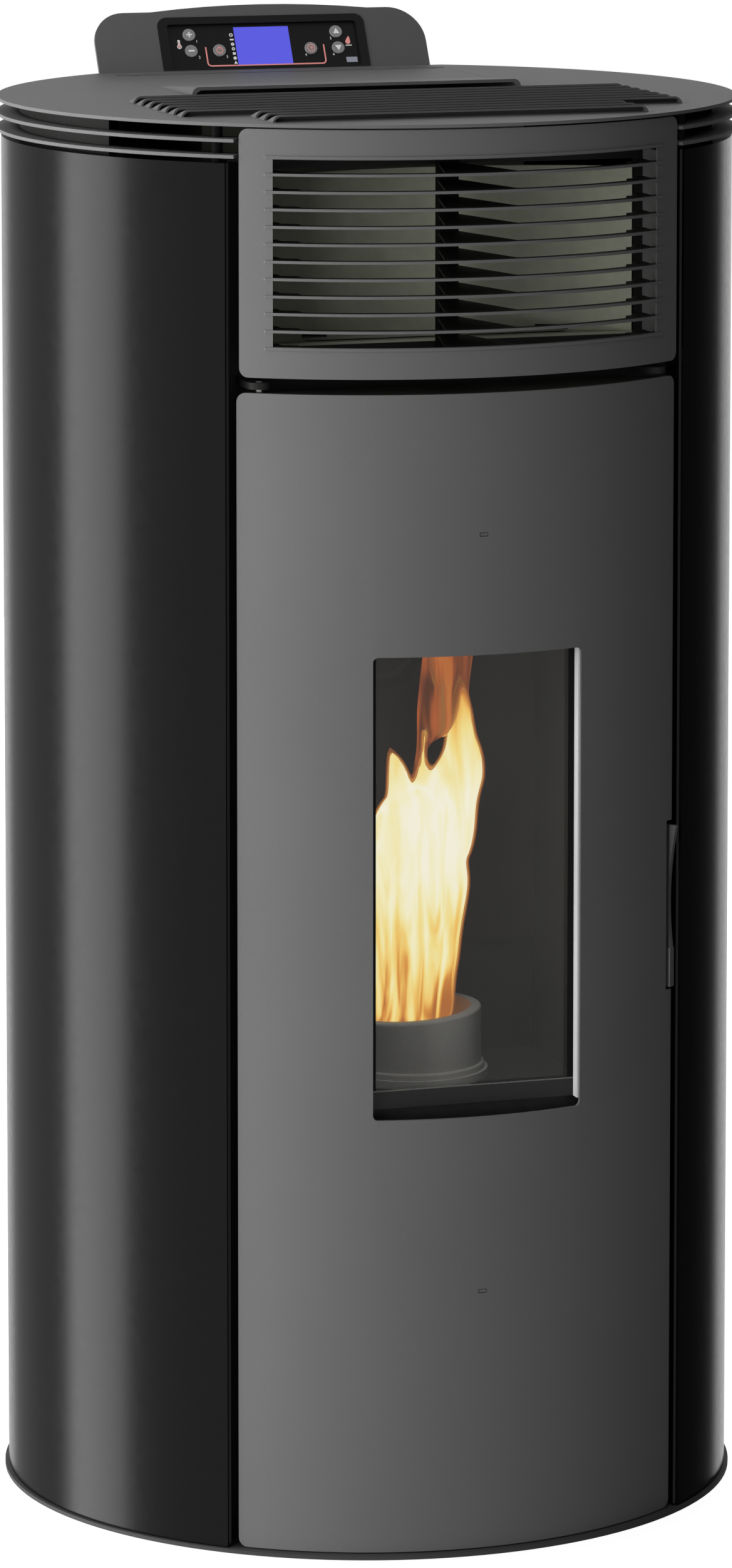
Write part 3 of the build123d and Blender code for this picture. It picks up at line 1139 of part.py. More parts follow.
# ---- rear sockets and switch --------------------------------------------------------------------
SWITCH_AXIS_Y = BACK_Y - 7.0
ROCKER_PIN_R = 1.5
ROCKER_TILT = 6.0
ROCKER_H = 15.2

with BuildPart() as power_module:
    x, z = INLET
    block(x - 14, x + 14, BACK_Y - 22, BACK_Y, z - 11, z + 11)
    block(x - 20, x + 20, BACK_Y, BACK_Y + 2, z - 15, SWITCH[1] + 14)
    block(x - 11, x + 11, BACK_Y - 16, BACK_Y + 5, z - 8, z + 8, mode=Mode.SUBTRACT)
    for dx, dz in ((-6, -2), (0, 3), (6, -2)):
        block(x + dx - 1, x + dx + 1, BACK_Y - 18, BACK_Y - 3, z + dz - 2, z + dz + 2)
    x, z = SWITCH
    block(x - 14, x + 14, BACK_Y - 20, BACK_Y, z - 11, z + 11)
    block(x - 11, x + 11, BACK_Y - 17, BACK_Y + 5, z - 8, z + 8, mode=Mode.SUBTRACT)
    rod((x, SWITCH_AXIS_Y, z - 10), (0, 0, 1), ROCKER_PIN_R + RUN, 20, mode=Mode.SUBTRACT)
power_module.part.label = "power_module"

with BuildPart() as switch_rocker:
    lean = (cos(radians(ROCKER_TILT)), sin(radians(ROCKER_TILT)), 0)
    foot = SWITCH[1] - ROCKER_H / 2
    with BuildSketch(Plane(origin=(SWITCH[0], SWITCH_AXIS_Y, foot), x_dir=lean, z_dir=(0, 0, 1))):
        with BuildLine():
            Polyline((-9, -5), (9, -5), (9.6, 8), (0, 9.6), (-9.6, 8), close=True)
        make_face()
    extrude(amount=ROCKER_H)
    rod((SWITCH[0], SWITCH_AXIS_Y, foot - 2), (0, 0, 1), ROCKER_PIN_R, ROCKER_H + 4)
switch_rocker.part.label = "switch_rocker"

PIECES = [
    base_plate, levelling_feet, flank_left, flank_right, rear_panel, front_frame, top_plate,
    fin_rings_left, fin_rings_right, ring_spacers, grille_panel, grille_slats, grille_comb,
    air_duct, door_skin, door_frame, door_glass, glass_strips, door_gasket, door_end_plates,
    hinge_pins, front_brackets, handle_lever, handle_bracket, handle_pin, firebox,
    firebox_liner, burner_seat, burner_pot, ash_drawer, heat_tubes, hopper,
    hopper_lid, lid_hinge_pin, auger_tube, auger_screw, auger_gearmotor,
    pellet_chute, smoke_fan_housing, smoke_fan_wheel, smoke_fan_motor, flue_stub, smoke_duct,
    air_intake_pipe, room_fan_housing, room_fan_wheel, room_fan_motor, control_box,
    display_bezel, lcd_screen, control_board, power_module, switch_rocker, *keys,
]

os.makedirs("parts", exist_ok=True)
for piece in PIECES:
    export_step(piece.part, f"parts/{piece.part.label}.step")
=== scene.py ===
"""Dresses the round pellet stove: finishes for every CAD piece, flames, control panel and stage."""
import json
from math import cos, pi, radians, sin

import bmesh
import bpy
from mathutils import Matrix, Vector


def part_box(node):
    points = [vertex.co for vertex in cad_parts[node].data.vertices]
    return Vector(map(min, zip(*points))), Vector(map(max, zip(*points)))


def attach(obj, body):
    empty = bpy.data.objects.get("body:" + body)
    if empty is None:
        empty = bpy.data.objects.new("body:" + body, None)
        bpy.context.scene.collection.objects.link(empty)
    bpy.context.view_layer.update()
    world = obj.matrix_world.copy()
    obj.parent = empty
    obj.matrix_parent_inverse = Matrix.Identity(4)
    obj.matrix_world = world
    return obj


bl_info = {
    "name": "Round pellet stove",
    "version": (1, 0, 0),
    "blender": (4, 5, 0),
    "location": "View3D > Sidebar > Stove",
    "description": "Finishes, flames, control panel marks and stage of a round pellet stove",
    "category": "Add Mesh",
}

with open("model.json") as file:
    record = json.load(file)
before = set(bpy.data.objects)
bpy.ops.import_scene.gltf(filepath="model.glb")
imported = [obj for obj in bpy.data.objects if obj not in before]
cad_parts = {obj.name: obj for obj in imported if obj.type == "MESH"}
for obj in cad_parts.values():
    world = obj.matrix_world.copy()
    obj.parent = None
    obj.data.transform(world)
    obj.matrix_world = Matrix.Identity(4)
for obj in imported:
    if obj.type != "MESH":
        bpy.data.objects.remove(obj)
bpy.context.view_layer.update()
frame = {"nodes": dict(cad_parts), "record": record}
MM = 0.001


# ---- places worked out from the frame -------------------------------------------------------
TOP_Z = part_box("hopper_lid")[1][2] - 6 * MM      # upper face of the top plate
BACK_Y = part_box("rear_panel")[1][1]
POT_LOW, POT_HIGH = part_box("burner_pot")
POT_X = (POT_LOW[0] + POT_HIGH[0]) / 2
POT_Y = (POT_LOW[1] + POT_HIGH[1]) / 2
POT_TOP = POT_HIGH[2]
SHELL_R = -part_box("grille_panel")[0][1]
FASCIA_TILT = radians(61.5)                      # turn of the fascia's plane about X
FASCIA_FOOT = Vector((0, BACK_Y - 1 * MM, TOP_Z))


# ---- small helpers ---------------------------------------------------------------------------
BEVEL_ANGLE = 40       # degrees: edges sharper than this are rounded
SMOOTH_ANGLE = 35      # degrees: edges sharper than this stay sharp in shading
FONT_SCALE = 1.4       # font size over the height of a numeral


def linear(hex_colour):
    """Linear RGBA of an sRGB hex value."""
    digits = hex_colour.lstrip("#")
    channels = [int(digits[n:n + 2], 16) / 255 for n in (0, 2, 4)]
    return (*[c / 12.92 if c <= 0.04045 else ((c + 0.055) / 1.055) ** 2.4 for c in channels], 1.0)


def deselect():
    """Leave edit mode and select nothing."""
    if bpy.context.object and bpy.context.object.mode != "OBJECT":
        bpy.ops.object.mode_set(mode="OBJECT")
    bpy.ops.object.select_all(action="DESELECT")


def active(piece):
    """Make one object the only selected and active one."""
    deselect()
    piece.select_set(True)
    bpy.context.view_layer.objects.active = piece
    return piece


def named(name):
    """Name the active object and its mesh, and return it."""
    piece = bpy.context.object
    piece.name = name
    piece.data.name = name
    return piece


def settle(piece):
    """Put the object's place into its mesh."""
    active(piece)
    bpy.ops.object.transform_apply(location=True, rotation=True, scale=True)
    return piece


def edit(piece, mode="FACE"):
    """Open a piece in edit mode with nothing selected."""
    active(piece)
    bpy.ops.object.mode_set(mode="EDIT")
    bpy.ops.mesh.select_mode(type=mode)
    bpy.ops.mesh.select_all(action="DESELECT")
    return bmesh.from_edit_mesh(piece.data)


def tidy_normals(piece):
    """Merge doubles and point the faces outwards."""
    active(piece)
    bpy.ops.object.mode_set(mode="EDIT")
    bpy.ops.mesh.select_all(action="SELECT")
    bpy.ops.mesh.remove_doubles(threshold=0.01 * MM)
    bpy.ops.mesh.normals_make_consistent(inside=False)
    bpy.ops.object.mode_set(mode="OBJECT")
    return piece


def join(pieces, name):
    """Join several objects into one."""
    deselect()
    for piece in pieces:
        piece.select_set(True)
    bpy.context.view_layer.objects.active = pieces[0]
    if len(pieces) > 1:
        bpy.ops.object.join()
    return named(name)


def bevelled(piece, width, segments=2):
    """Round a piece's sharp edges and apply the modifier."""
    active(piece)
    modifier = piece.modifiers.new("soft_edges", "BEVEL")
    modifier.width = width
    modifier.segments = segments
    modifier.limit_method = "ANGLE"
    modifier.angle_limit = radians(BEVEL_ANGLE)
    bpy.ops.object.modifier_apply(modifier=modifier.name)
    return piece


def smooth(piece):
    """Shade smooth all but the sharp edges."""
    active(piece)
    bpy.ops.object.shade_smooth_by_angle(angle=radians(SMOOTH_ANGLE))
    return piece


def rounded(piece):
    """Shade every face of a piece smooth."""
    for polygon in piece.data.polygons:
        polygon.use_smooth = True
    return piece


def fascia_piece(piece, across, up, height, turn=0.0):
    """Lay a flat piece onto the sloping fascia: mm across, up the slope and out of its face."""
    tilt = Matrix.Rotation(FASCIA_TILT, 3, "X")
    piece.rotation_euler = (tilt @ Matrix.Rotation(turn, 3, "Z")).to_euler()
    piece.location = FASCIA_FOOT + tilt @ (Vector((across, up, height)) * MM)
    return settle(piece)


def flat_bar(name, length, width, thick, corner=0.25):
    """Thin bar with softened corners, in millimetres, flat at the origin."""
    deselect()
    bpy.ops.mesh.primitive_cube_add(size=1, location=(0, 0, thick * MM / 2),
                                    scale=(length * MM, width * MM, thick * MM))
    piece = settle(named(name))
    return bevelled(piece, corner * min(width, thick) * MM)


def flat_disc(name, radius, thick, corners=32, hole=0.0):
    """Thin disc, polygon or ring with a softened edge, in millimetres, flat at the origin."""
    deselect()
    bpy.ops.mesh.primitive_cylinder_add(vertices=corners, radius=radius * MM, depth=thick * MM,
                                        location=(0, 0, thick * MM / 2))
    piece = settle(named(name))
    if hole:
        mesh = edit(piece)
        for face in mesh.faces:
            face.select_set(abs(face.normal.z) > 0.9)
        mesh.select_flush_mode()
        bmesh.update_edit_mesh(piece.data)
        bpy.ops.mesh.inset(thickness=(radius - hole) * MM, depth=0)
        bpy.ops.mesh.bridge_edge_loops()
        bpy.ops.object.mode_set(mode="OBJECT")
        return tidy_normals(piece)
    return bevelled(piece, 0.3 * thick * MM)


def flat_numeral(numeral, height, thick):
    """Numeral as a thin mesh, in millimetres, centred at the origin."""
    deselect()
    bpy.ops.object.text_add(location=(0, 0, 0))
    text = bpy.context.object
    text.data.body = numeral
    text.data.size = height * FONT_SCALE * MM
    text.data.extrude = thick * MM / 2
    text.data.align_x = "CENTER"
    text.data.align_y = "CENTER"
    text.data.resolution_u = 3
    bpy.ops.object.convert(target="MESH")
    return tidy_normals(named("numeral"))


def dress(piece, material, body):
    """Give a new piece its material and its body."""
    piece.data.materials.clear()
    piece.data.materials.append(material)
    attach(piece, body)
    return piece


# ---- material building -----------------------------------------------------------------------
DULL = {"Specular IOR Level": 0.2}
METAL = {"Metallic": 1.0}
PAINT_GRAIN = (1.4, 0.04, 0.62, 0.06)      # grain and bump in mm, roughness and its swing
# Black of the painted shade inside the grille and between the fin rings.
PAINTED_SHADE_BLACK = "#121211"
GRAIN_SHADE = 0.91         # dark tone of a paint's grain over the light one
CLOUD_SCALE = 9.0          # waves of the broad clouds in a finish, per metre
CLOUD_SHARE = 0.35         # part that the clouds have in its tone
BLACK = (0, 0, 0, 1)


def add_node(tree, kind, inputs=None, links=None, **settings):
    """Add a shader node with its settings, constant inputs and links into it."""
    node = tree.nodes.new(kind)
    for key, value in settings.items():
        setattr(node, key, value)
    for key, value in (inputs or {}).items():
        node.inputs[key].default_value = value
    for key, socket in (links or {}).items():
        tree.links.new(socket, node.inputs[key])
    return node


def new_material(name):
    """Empty node material with its output."""
    material = bpy.data.materials.new(name)
    material.use_nodes = True
    tree = material.node_tree
    tree.nodes.clear()
    output = tree.nodes.new("ShaderNodeOutputMaterial")
    return material, tree, output


def surface(name, colour, dark, grain_mm, bump_mm, roughness, spread, shader):
    """Finish with a fine two-tone grain and a matching bump, its scale a real size in mm."""
    material, tree, output = new_material(name)
    deep, pale = [linear(tint) if isinstance(tint, str) else tint for tint in (dark, colour)]
    place = add_node(tree, "ShaderNodeTexCoord")
    grain = add_node(tree, "ShaderNodeTexNoise",
                     {"Scale": 1 / (grain_mm * MM), "Detail": 3.0, "Roughness": 0.6},
                     {"Vector": place.outputs["Object"]})
    cloud = add_node(tree, "ShaderNodeTexNoise", {"Scale": CLOUD_SCALE, "Detail": 2.0},
                     {"Vector": place.outputs["Object"]})
    both = add_node(tree, "ShaderNodeMix", {"Factor": CLOUD_SHARE},
                    {"A": grain.outputs["Fac"], "B": cloud.outputs["Fac"]}, data_type="FLOAT")
    tone = add_node(tree, "ShaderNodeMapRange",
                    {"From Min": 0.35, "From Max": 0.65, "To Min": 0.0, "To Max": 1.0},
                    {"Value": both.outputs["Result"]})
    paint = add_node(tree, "ShaderNodeMix", {"A": deep, "B": pale},
                     {"Factor": tone.outputs["Result"]}, data_type="RGBA")
    rough = add_node(tree, "ShaderNodeMapRange",
                     {"From Min": 0.3, "From Max": 0.7, "To Min": roughness - spread,
                      "To Max": roughness + spread}, {"Value": grain.outputs["Fac"]})
    relief = add_node(tree, "ShaderNodeBump", {"Strength": 1.0, "Distance": bump_mm * MM},
                      {"Height": grain.outputs["Fac"]})
    bsdf = add_node(tree, "ShaderNodeBsdfPrincipled", shader,
                    {"Base Color": paint.outputs["Result"], "Roughness": rough.outputs["Result"],
                     "Normal": relief.outputs["Normal"]})
    tree.links.new(bsdf.outputs["BSDF"], output.inputs["Surface"])
    return material


def glow(name, colour, strength):
    """Mark that gives off an even light under a thin plastic face: the screen's real backlight, and
    painted light on the printed marks.
    """
    material, tree, output = new_material(name)
    bsdf = add_node(tree, "ShaderNodeBsdfPrincipled",
                    {"Base Color": linear("#101010"), "Roughness": 0.4,
                     "Emission Color": linear(colour), "Emission Strength": strength})
    tree.links.new(bsdf.outputs["BSDF"], output.inputs["Surface"])
    return material


def heat_glass():
    """Ceramic fire glass: clear and thin, so only its faint mirror image shows."""
    material, tree, output = new_material("heat_glass")
    mirror = add_node(tree, "ShaderNodeFresnel", {"IOR": 1.26})
    place = add_node(tree, "ShaderNodeTexCoord")
    haze = add_node(tree, "ShaderNodeTexNoise", {"Scale": 14.0, "Detail": 3.0},
                    {"Vector": place.outputs["Object"]})
    soot = add_node(tree, "ShaderNodeMath", {1: 0.006}, {0: haze.outputs["Fac"]},
                    operation="MULTIPLY")
    cover = add_node(tree, "ShaderNodeMath", None,
                     {0: mirror.outputs["Fac"], 1: soot.outputs[0]}, operation="ADD")
    bsdf = add_node(tree, "ShaderNodeBsdfPrincipled",
                    {"Base Color": linear("#e6e6e4"), "Metallic": 1.0, "Roughness": 0.05},
                    {"Alpha": cover.outputs[0]})
    tree.links.new(bsdf.outputs["BSDF"], output.inputs["Surface"])
    return material


# Colours of burning gas from coolest to hottest.
FLAME_STOPS = [(0.0, linear("#2e1c14")), (0.14, linear("#6e3a22")), (0.28, linear("#a9582b")),
               (0.42, linear("#d48e3c")), (0.56, linear("#ecc062")), (0.70, linear("#efda8a")),
               (0.84, linear("#f0e9ba")), (1.0, linear("#f2f1dc"))]
# The same for a core that is seen through its two skins, at a strength of 1.5.
CORE_STOPS = [(0.0, (0.02, 0.0, 0.0, 1)), (0.28, (0.14, 0.01, 0.0, 1)),
              (0.42, (0.49, 0.20, 0.026, 1)), (0.56, (0.74, 0.55, 0.13, 1)),
              (0.70, (0.77, 0.79, 0.31, 1)), (0.84, (0.785, 0.94, 0.64, 1)),
              (1.0, (0.81, 1.0, 0.94, 1))]


def flame_skin(name, colour, cover):
    """Thin burning gas around a flame's core: one colour, seen through."""
    material, tree, output = new_material(name)
    bsdf = add_node(tree, "ShaderNodeBsdfPrincipled",
                    {"Base Color": BLACK, "Roughness": 1.0, "Specular IOR Level": 0.0,
                     "Emission Color": linear(colour), "Emission Strength": 1.0, "Alpha": cover})
    tree.links.new(bsdf.outputs["BSDF"], output.inputs["Surface"])
    return material


# Heat of the gas from the foot of a flame to its tip: place on the way up, and heat.
CORE_HEAT = ((0.0, 0.44), (0.12, 0.58), (0.30, 0.72), (0.42, 0.88), (0.62, 0.90), (0.72, 0.76),
             (0.80, 0.60), (0.88, 0.36), (1.0, 0.22))
VEIL_HEAT = ((0.0, 0.19), (1.0, 0.19))
STREAK_HEAT = ((0.0, 0.55), (1.0, 0.40))
STREAK_W = 11              # mm from one streak to the next
STREAK_STRETCH = (1.0, 0.5, 0.13)
HEAT_FOOT = 0.02           # m below the pot's rim where the heat's profile starts


def flame_core(name, levels, swing, cover, strength=1.0, stops=None):
    """Burning gas with streaks: its heat goes by height and its colour by the heat.

    The swing is how far the streaks change the heat, less so higher up, and the cover is how
    thick the gas is between the streaks and in them.
    """
    material, tree, output = new_material(name)
    place = add_node(tree, "ShaderNodeTexCoord")
    stretch = add_node(tree, "ShaderNodeMapping", {"Scale": STREAK_STRETCH},
                       {"Vector": place.outputs["Object"]})
    streaks = add_node(tree, "ShaderNodeTexNoise",
                       {"Scale": 1 / (STREAK_W * MM), "Detail": 2.0, "Roughness": 0.45,
                        "Distortion": 0.8}, {"Vector": stretch.outputs["Vector"]})
    height = add_node(tree, "ShaderNodeSeparateXYZ", None, {"Vector": place.outputs["Object"]})
    rise = add_node(tree, "ShaderNodeMapRange",
                    {"From Min": POT_TOP - HEAT_FOOT,
                     "From Max": POT_TOP + sizes().flame_height}, {"Value": height.outputs["Z"]})
    profile = add_node(tree, "ShaderNodeValToRGB", None, {"Fac": rise.outputs["Result"]})
    set_stops(profile, [(at, (level, level, level, 1)) for at, level in levels])
    calm = add_node(tree, "ShaderNodeMapRange",
                    {"From Min": 0.10, "From Max": 0.42, "To Min": swing, "To Max": swing * 0.35},
                    {"Value": rise.outputs["Result"]})
    centred = add_node(tree, "ShaderNodeMapRange",
                       {"From Min": 0.37, "From Max": 0.63, "To Min": -1.0, "To Max": 1.0},
                       {"Value": streaks.outputs["Fac"]})
    waver = add_node(tree, "ShaderNodeMath", None,
                     {0: centred.outputs["Result"], 1: calm.outputs["Result"]},
                     operation="MULTIPLY")
    level = add_node(tree, "ShaderNodeMath", None,
                     {0: profile.outputs["Color"], 1: waver.outputs[0]}, operation="ADD")
    shade = add_node(tree, "ShaderNodeValToRGB", None, {"Fac": level.outputs[0]})
    set_stops(shade, stops or FLAME_STOPS)
    torn = add_node(tree, "ShaderNodeMapRange",
                    {"From Min": 0.34, "From Max": 0.56, "To Min": cover[0], "To Max": cover[1]},
                    {"Value": streaks.outputs["Fac"]})
    bsdf = add_node(tree, "ShaderNodeBsdfPrincipled",
                    {"Base Color": BLACK, "Roughness": 1.0, "Specular IOR Level": 0.0,
                     "Emission Strength": strength},
                    {"Emission Color": shade.outputs["Color"], "Alpha": torn.outputs["Result"]})
    tree.links.new(bsdf.outputs["BSDF"], output.inputs["Surface"])
    return material


def set_stops(ramp, stops):
    """Give a colour ramp its stops."""
    elements = ramp.color_ramp.elements
    while len(elements) > 1:
        elements.remove(elements[-1])
    elements[0].position, elements[0].color = stops[0]
    for at, colour in stops[1:]:
        elements.new(at).color = colour


def ember_material():
    """Wood pellets on fire: grey-brown with glowing cracks."""
    material, tree, output = new_material("glowing_pellets")
    place = add_node(tree, "ShaderNodeTexCoord")
    cracks = add_node(tree, "ShaderNodeTexNoise", {"Scale": 140.0, "Detail": 4.0},
                      {"Vector": place.outputs["Object"]})
    heat = add_node(tree, "ShaderNodeValToRGB", None, {"Fac": cracks.outputs["Fac"]})
    set_stops(heat, [(0.38, linear("#120a06")), (0.5, linear("#a03a0c")),
                     (0.62, linear("#ffb040"))])
    relief = add_node(tree, "ShaderNodeBump", {"Distance": 0.4 * MM},
                      {"Height": cracks.outputs["Fac"]})
    bsdf = add_node(tree, "ShaderNodeBsdfPrincipled",
                    {"Base Color": linear("#4a3626"), "Roughness": 0.9,
                     "Emission Strength": 1.0},
                    {"Emission Color": heat.outputs["Color"],
                     "Normal": relief.outputs["Normal"]})
    tree.links.new(bsdf.outputs["BSDF"], output.inputs["Surface"])
    return material


def paint_with_painted_shade(name, tints, inner, outer):
    """Paint on the outer edge of curved sheets, with painted shade further in: black where the
    sheets lie in shade.

    It is black from the inner depth on and whole from the outer one, in mm inside the shell.
    """
    material = surface(name, *tints, *PAINT_GRAIN, DULL)
    tree = material.node_tree
    bsdf = tree.nodes["Principled BSDF"]
    painted = bsdf.inputs["Base Color"].links[0].from_socket
    place = add_node(tree, "ShaderNodeTexCoord")
    flat = add_node(tree, "ShaderNodeMapping", {"Scale": (1, 1, 0)},
                    {"Vector": place.outputs["Object"]})
    radius = add_node(tree, "ShaderNodeVectorMath", None, {0: flat.outputs["Vector"]},
                      operation="LENGTH")
    front = add_node(tree, "ShaderNodeMapRange",
                     {"From Min": SHELL_R - inner * MM, "From Max": SHELL_R - outer * MM},
                     {"Value": radius.outputs["Value"]})
    mix = add_node(tree, "ShaderNodeMix", {"A": linear(PAINTED_SHADE_BLACK)},
                   {"Factor": front.outputs["Result"], "B": painted}, data_type="RGBA")
    tree.links.new(mix.outputs["Result"], bsdf.inputs["Base Color"])
    return material


MATERIALS = {}


def material(name):
    """A finish made by the finishes operator."""
    return MATERIALS[name]


# Finish of each material slot in the record.
SLOT_FINISH = {
    "coated_steel": "matt_stove_paint",
    "gloss_black_steel": "gloss_black_enamel",
    "black_steel": "black_heat_paint",
    "galvanised_steel": "galvanised_sheet",
    "stainless_steel": "brushed_stainless",
    "bright_strip": "bright_steel_strip",
    "cast_iron": "cast_iron",
    "firebrick": "sooted_vermiculite",
    "rope_seal": "glass_fibre_rope",
    "heat_glass": "heat_glass",
    "motor_metal": "cast_aluminium",
    "bezel_plastic": "bezel_plastic",
    "rocker_plastic": "rocker_plastic",
    "screen": "blue_screen",
    "circuit_board": "circuit_board",
    "key_plastic": "key_plastic",
}
# Nodes whose finish isn't their slot's.
NODE_FINISH = {
    "grille_slats": "grille_paint",
    "air_duct": "duct_sheet_painted_light",
    "fin_rings_left": "ring_paint",
    "fin_rings_right": "ring_paint",
    # The ring spacers and the comb are black as painted shade.
    "ring_spacers": "black_print_and_shade",
    "grille_comb": "black_print_and_shade",
    # The base plate's paint is darkened as painted shade.
    "base_plate": "base_painted_shade",
    "firebox": "sooted_steel",
    "door_frame": "glass_print",
    "pellet_chute": "sooted_vermiculite",
    "handle_lever": "satin_lever",
}


class StoveSizes(bpy.types.PropertyGroup):
    """Sizes of the pieces that are added to the stove."""
    flame_height: bpy.props.FloatProperty(
        name="Flame height", description="Height above the pot that the flames' heat runs over",
        default=0.275, min=0.05, unit="LENGTH")
    pellet_length: bpy.props.FloatProperty(
        name="Pellet length", description="Length of one wood pellet",
        default=0.014, min=0.002, unit="LENGTH")
    camera_shift: bpy.props.FloatProperty(
        name="Camera shift", description="Vertical shift of the camera", default=-0.28)


class StoveColours(bpy.types.PropertyGroup):
    """Colours of the stove's main finishes."""
    paint: bpy.props.FloatVectorProperty(
        name="Stove paint", description="Matt paint of the door, grille and top", size=3,
        subtype="COLOR", default=linear("#686868")[:3])
    flank: bpy.props.FloatVectorProperty(
        name="Flank enamel", description="Gloss black of the side shells", size=3,
        subtype="COLOR", default=linear("#0a0a0a")[:3])


def sizes():
    """The sizes that a user can change."""
    return bpy.context.scene.stove_sizes


def shades(colour):
    """A chosen colour and the darker one of its grain."""
    return (*colour, 1), (*(GRAIN_SHADE * part for part in colour), 1)


# Colour, darker tone of the grain, size of the grain and height of its bump in mm, roughness, how
# far the roughness swings, and further inputs of the shader.
SURFACES = {
    # The base plate: stove paint darkened as painted shade, for the shade it lies in below the
    # door.
    "base_painted_shade": ("#3d3d3d", "#393939", *PAINT_GRAIN, DULL),
    # Black heat paint on folded plate: flat and slightly dusty.
    "black_heat_paint": ("#1f1f1e", "#191918", 1.6, 0.04, 0.62, 0.06, DULL),
    # Zinc-coated sheet, dulled by heat: olive grey with broad spangle.
    "galvanised_sheet": ("#74776a", "#65685c", 9.0, 0.01, 0.5, 0.06, {"Metallic": 0.3}),
    # The duct behind the grille: zinc sheet made paler as painted light, for the light that reaches
    # it through the grille.
    "duct_sheet_painted_light": ("#abae9b", "#9a9d8c", 14.0, 0.01, 0.5, 0.06, {}),
    # Steel of the fire space: heat paint under a grey film of ash.
    "sooted_steel": ("#363533", "#31302e", 5.0, 0.005, 0.6, 0.06, DULL),
    # Brushed stainless steel of pins, screws, the auger and the smoke fan's wheel.
    "brushed_stainless": ("#b4b4b6", "#a2a2a4", 0.9, 0.01, 0.32, 0.06, METAL),
    # The lever: steel blacked by the forge, rubbed satin.
    "satin_lever": ("#69696b", "#5c5c5e", 0.9, 0.01, 0.42, 0.06, {}),
    # Folded strip of bright tinplate beside the glass.
    "bright_steel_strip": ("#dedede", "#d4d4d4", 2.0, 0.005, 0.45, 0.06, {}),
    # Cast iron of the burner: sand-cast skin, greyed by ash.
    "cast_iron": ("#c2c1bc", "#b6b5b0", 1.8, 0.06, 0.55, 0.06, {"Specular IOR Level": 0.4}),
    # Pressed vermiculite board darkened by soot, and the chute, sooted like it.
    "sooted_vermiculite": ("#353330", "#33312e", 3.0, 0.005, 0.9, 0.02,
                           {"Specular IOR Level": 0.15}),
    # Twisted glass-fibre rope, grey-black.
    "glass_fibre_rope": ("#3c3c3b", "#222221", 1.2, 0.4, 0.95, 0.06, {"Specular IOR Level": 0.1}),
    # Die-cast aluminium of the motors: satin with a pitted skin.
    "cast_aluminium": ("#9b9b9d", "#858587", 1.2, 0.05, 0.5, 0.06, METAL),
    # Moulded ABS with a fine spark-eroded grain.
    "bezel_plastic": ("#141414", "#101010", 0.8, 0.015, 0.5, 0.06, {"Specular IOR Level": 0.15}),
    "rocker_plastic": ("#191919", "#151515", 0.8, 0.015, 0.4, 0.06, {}),
    # Glass-fibre laminate under green solder mask.
    "circuit_board": ("#1c5a30", "#174a27", 2.4, 0.01, 0.4, 0.06, {}),
    # Silver-grey silicone keys with a sparkling grain.
    "key_plastic": ("#a9a9a9", "#8a8a8a", 0.7, 0.03, 0.5, 0.06, {}),
    # Clear window of the remote control's receiver.
    "pale_window": ("#bcc0cf", "#b2b6c6", 1.0, 0.0, 0.3, 0.06, {}),
    # Deep black: the print beside the glass, and painted shade on the comb and the ring spacers.
    "black_print_and_shade": ("#0d0d0d", "#0a0a0a", 4.0, 0.03, 0.7, 0.06, {"Specular IOR Level": 0.1}),
    # Dark print along the foot of the glass, and the paint of the frame around it.
    "glass_print": ("#252525", "#1f1f1f", 9.0, 0.0, 0.4, 0.06, DULL),
    # Pale line along the upper edge of that print.
    "glass_rim": ("#5c5e5d", "#525453", 3.0, 0.0, 0.3, 0.06, {}),
}
# Lit marks: colour and strength. The screen has a real backlight; the printed marks glow as painted
# light.
GLOWS = {
    # Backlit liquid crystal behind a clear window.
    "blue_screen": ("#4f50e0", 0.95),
    # Screen-printed marks, which glow as painted light.
    "white_print_painted_glow": ("#d8d8d8", 0.75),
    "red_print_painted_glow": ("#c98884", 0.8),
    "red_line_painted_glow": ("#d0817c", 0.9),
}


class MakeFinishes(bpy.types.Operator):
    """Make the finishes and give each CAD piece its own"""
    bl_idname = "stove.finishes"
    bl_label = "Finishes"

    def execute(self, context):
        paint = shades(context.scene.stove_colours.paint)
        enamel = shades(context.scene.stove_colours.flank)
        MATERIALS.update({name: surface(name, *values) for name, values in SURFACES.items()})
        MATERIALS.update({name: glow(name, *values) for name, values in GLOWS.items()})
        MATERIALS.update({
            # High-temperature stove paint, sprayed: matt, with a fine sandy grain.
            "matt_stove_paint": surface("matt_stove_paint", *paint, *PAINT_GRAIN, DULL),
            # Grille blades and fin rings: the same paint outside, with painted shade in black
            # further in.
            "grille_paint": paint_with_painted_shade("grille_paint", paint, 1.5, 0.2),
            "ring_paint": paint_with_painted_shade("ring_paint", paint, 13.0, 6.0),
            # Black gloss enamel on rolled sheet: deep, with a soft orange peel.
            "gloss_black_enamel": surface("gloss_black_enamel", *enamel, 7.0, 0.006, 0.22, 0.02,
                                          {"Specular IOR Level": 0.125}),
            "heat_glass": heat_glass(),
            # Burning gas: thin and orange outside, thick and nearly white in the middle.
            "flame_haze": flame_skin("flame_haze", "#aa6230", 0.25),
            "flame_edge": flame_skin("flame_edge", "#e19f4b", 0.35),
            "flame_core": flame_core("flame_core", CORE_HEAT, 0.26, (1.0, 1.0), 1.5, CORE_STOPS),
            "flame_veil": flame_core("flame_veil", VEIL_HEAT, 0.34, (0.70, 0.95)),
            "flame_streak": flame_core("flame_streak", STREAK_HEAT, 0.40, (0.60, 0.95)),
            "glowing_pellets": ember_material(),
        })
        for part in frame["record"]["subparts"]:
            piece = frame["nodes"][part["node"]]
            finish = MATERIALS[NODE_FINISH.get(part["node"], SLOT_FINISH[part["material_slot"]])]
            if piece.material_slots:
                for place in piece.material_slots:
                    place.material = finish
            else:
                piece.data.materials.append(finish)
        return {"FINISHED"}


